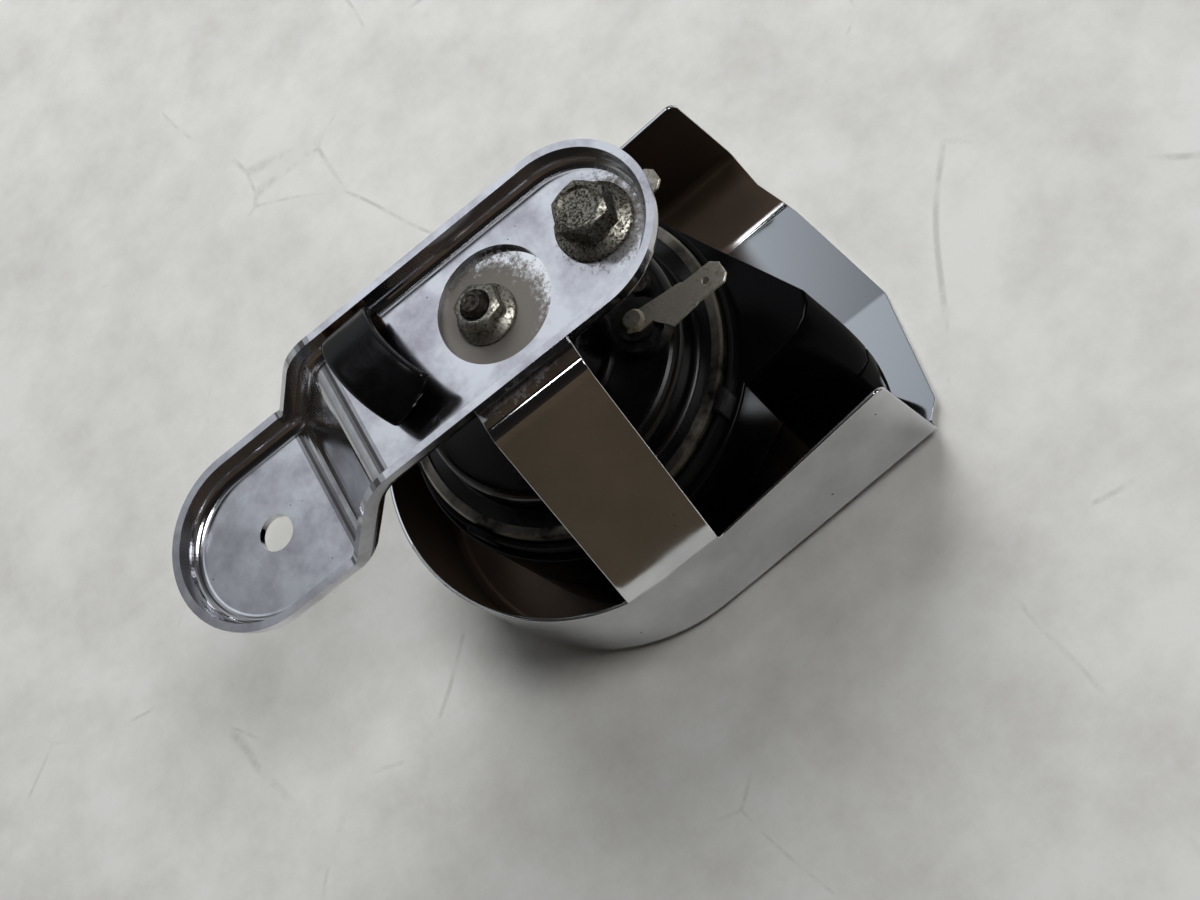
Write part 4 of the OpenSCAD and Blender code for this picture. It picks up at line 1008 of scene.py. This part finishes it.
# %% World
world = bpy.data.worlds.new("room")
bpy.context.scene.world = world
world.use_nodes = True
tree = world.node_tree
sky = add(tree, "ShaderNodeTexCoord").outputs["Generated"]
split = add(tree, "ShaderNodeSeparateXYZ", links={"Vector": sky})
near_side = stops(add(tree, "ShaderNodeValToRGB", links={"Fac": split.outputs["Z"]}),
                  (0.0, "2e2721"), (0.3, "40372e"), (0.6, "2a2622"), (0.9, "1b1918"))
far_side = stops(add(tree, "ShaderNodeValToRGB", links={"Fac": split.outputs["Z"]}),
                 (0.05, "8f918f"), (0.4, "b3b7b9"), (0.58, "5f5f5e"), (0.9, "242322"))
farness = add(tree, "ShaderNodeMapRange", {"From Min": -0.1, "From Max": 0.5},
              {"Value": split.outputs["Y"]}, interpolation_type="SMOOTHSTEP")
walls = add(tree, "ShaderNodeMix", links={"Factor": farness.outputs["Result"], "A": near_side,
                                          "B": far_side}, data_type="RGBA")
offset = add(tree, "ShaderNodeVectorMath", {1: (-0.15, 0.58, 0.80)}, {0: sky},
             operation="DISTANCE")
panel = add(tree, "ShaderNodeMapRange", {"From Min": 0.33, "From Max": 0.04},
            {"Value": offset.outputs["Value"]}, interpolation_type="SMOOTHSTEP")
lit = add(tree, "ShaderNodeMix", {"B": colour("f4f8ff")},
          {"Factor": panel.outputs["Result"], "A": walls.outputs["Result"]}, data_type="RGBA")
seen = add(tree, "ShaderNodeMix", {"B": colour("d3d4d2")},
           {"Factor": add(tree, "ShaderNodeLightPath").outputs["Is Camera Ray"],
            "A": lit.outputs["Result"]}, data_type="RGBA")
tree.links.new(seen.outputs["Result"], tree.nodes["Background"].inputs["Color"])
print("world nodes:", len(tree.nodes))

# %% [markdown]
# Three soft lamps do the lighting. A large one stands beyond the horn like a window, and gives
# the wide shadow on the near side. One on the right throws the tab's shadow to the left. A small
# one overhead is there for the thin white lines that run along every bend of the chrome. The
# large one is kept out of the mirrors, which would otherwise show it as a blank white disk.

# %% Lamps
AIM, LAMP_DISTANCE = Vector((0.07, 0, 0)), 1.4


def soft_lamp(name, direction, size, power, mirrored=True):
    """A round lamp in a direction from the horn, turned towards it, seen by mirrors or not."""
    lamp_data = bpy.data.lights.new(name, "AREA")
    lamp_data.shape = "DISK"
    lamp_data.size = size
    lamp_data.energy = power
    lamp = bpy.data.objects.new(name, lamp_data)
    bpy.context.scene.collection.objects.link(lamp)
    lamp.location = AIM + Vector(direction).normalized() * LAMP_DISTANCE
    lamp.rotation_euler = (AIM - lamp.location).to_track_quat("-Z", "Y").to_euler()
    lamp.visible_glossy = mirrored
    return lamp


lamps = [soft_lamp("window lamp", (0.22, 0.77, 0.6), 1.1, 18.6, mirrored=False),
         soft_lamp("side lamp", (0.62, -0.2, 1), 0.55, 7.2),
         soft_lamp("ceiling lamp", (-0.12, 0.22, 0.96), 0.2, 0.9)]
print("lamps at", [[round(v, 2) for v in lamp.location] for lamp in lamps])

# %% [markdown]
# The cover's near arm mirrors the space on its own side as one plain dark brown. A brown card
# stands there to be mirrored. It glows by itself, so its tone doesn't hang on the lamps. Only
# mirrors see it, so it throws no shadow and stays out of every picture.

# %% Dark card
CARD_Y, CARD_WIDE, CARD_HIGH = -0.22, 1.6, 0.26
bpy.ops.object.select_all(action="DESELECT")
bpy.ops.mesh.primitive_grid_add(x_subdivisions=12, y_subdivisions=4, size=1,
                                location=(0.05, CARD_Y, FLOOR_Z + CARD_HIGH / 2),
                                rotation=(pi / 2, 0, 0))
card = bpy.context.object
card.name = "dark_card"
bpy.ops.transform.resize(value=(CARD_WIDE, 1, CARD_HIGH))
bpy.ops.object.transform_apply(location=True, rotation=True, scale=True)
tree, shader, place = new_finish("brown felt")
folds = add(tree, "ShaderNodeTexNoise", {"Scale": per_mm(180), "Detail": 1}, {"Vector": place})
tone = stops(add(tree, "ShaderNodeValToRGB", links={"Fac": folds.outputs["Fac"]}),
             (0.4, "42392d"), (0.6, "4b3f33"))
tree.links.new(tone, shader.inputs["Emission Color"])
shader.inputs["Emission Strength"].default_value = 1
shader.inputs["Base Color"].default_value = colour("000000")
shader.inputs["Roughness"].default_value = 1
card.data.materials.append(finishes["brown felt"])
card.visible_camera = card.visible_diffuse = card.visible_shadow = False
print("card stands", round(-COVER_R * MM - CARD_Y, 2), "m from the near wall")
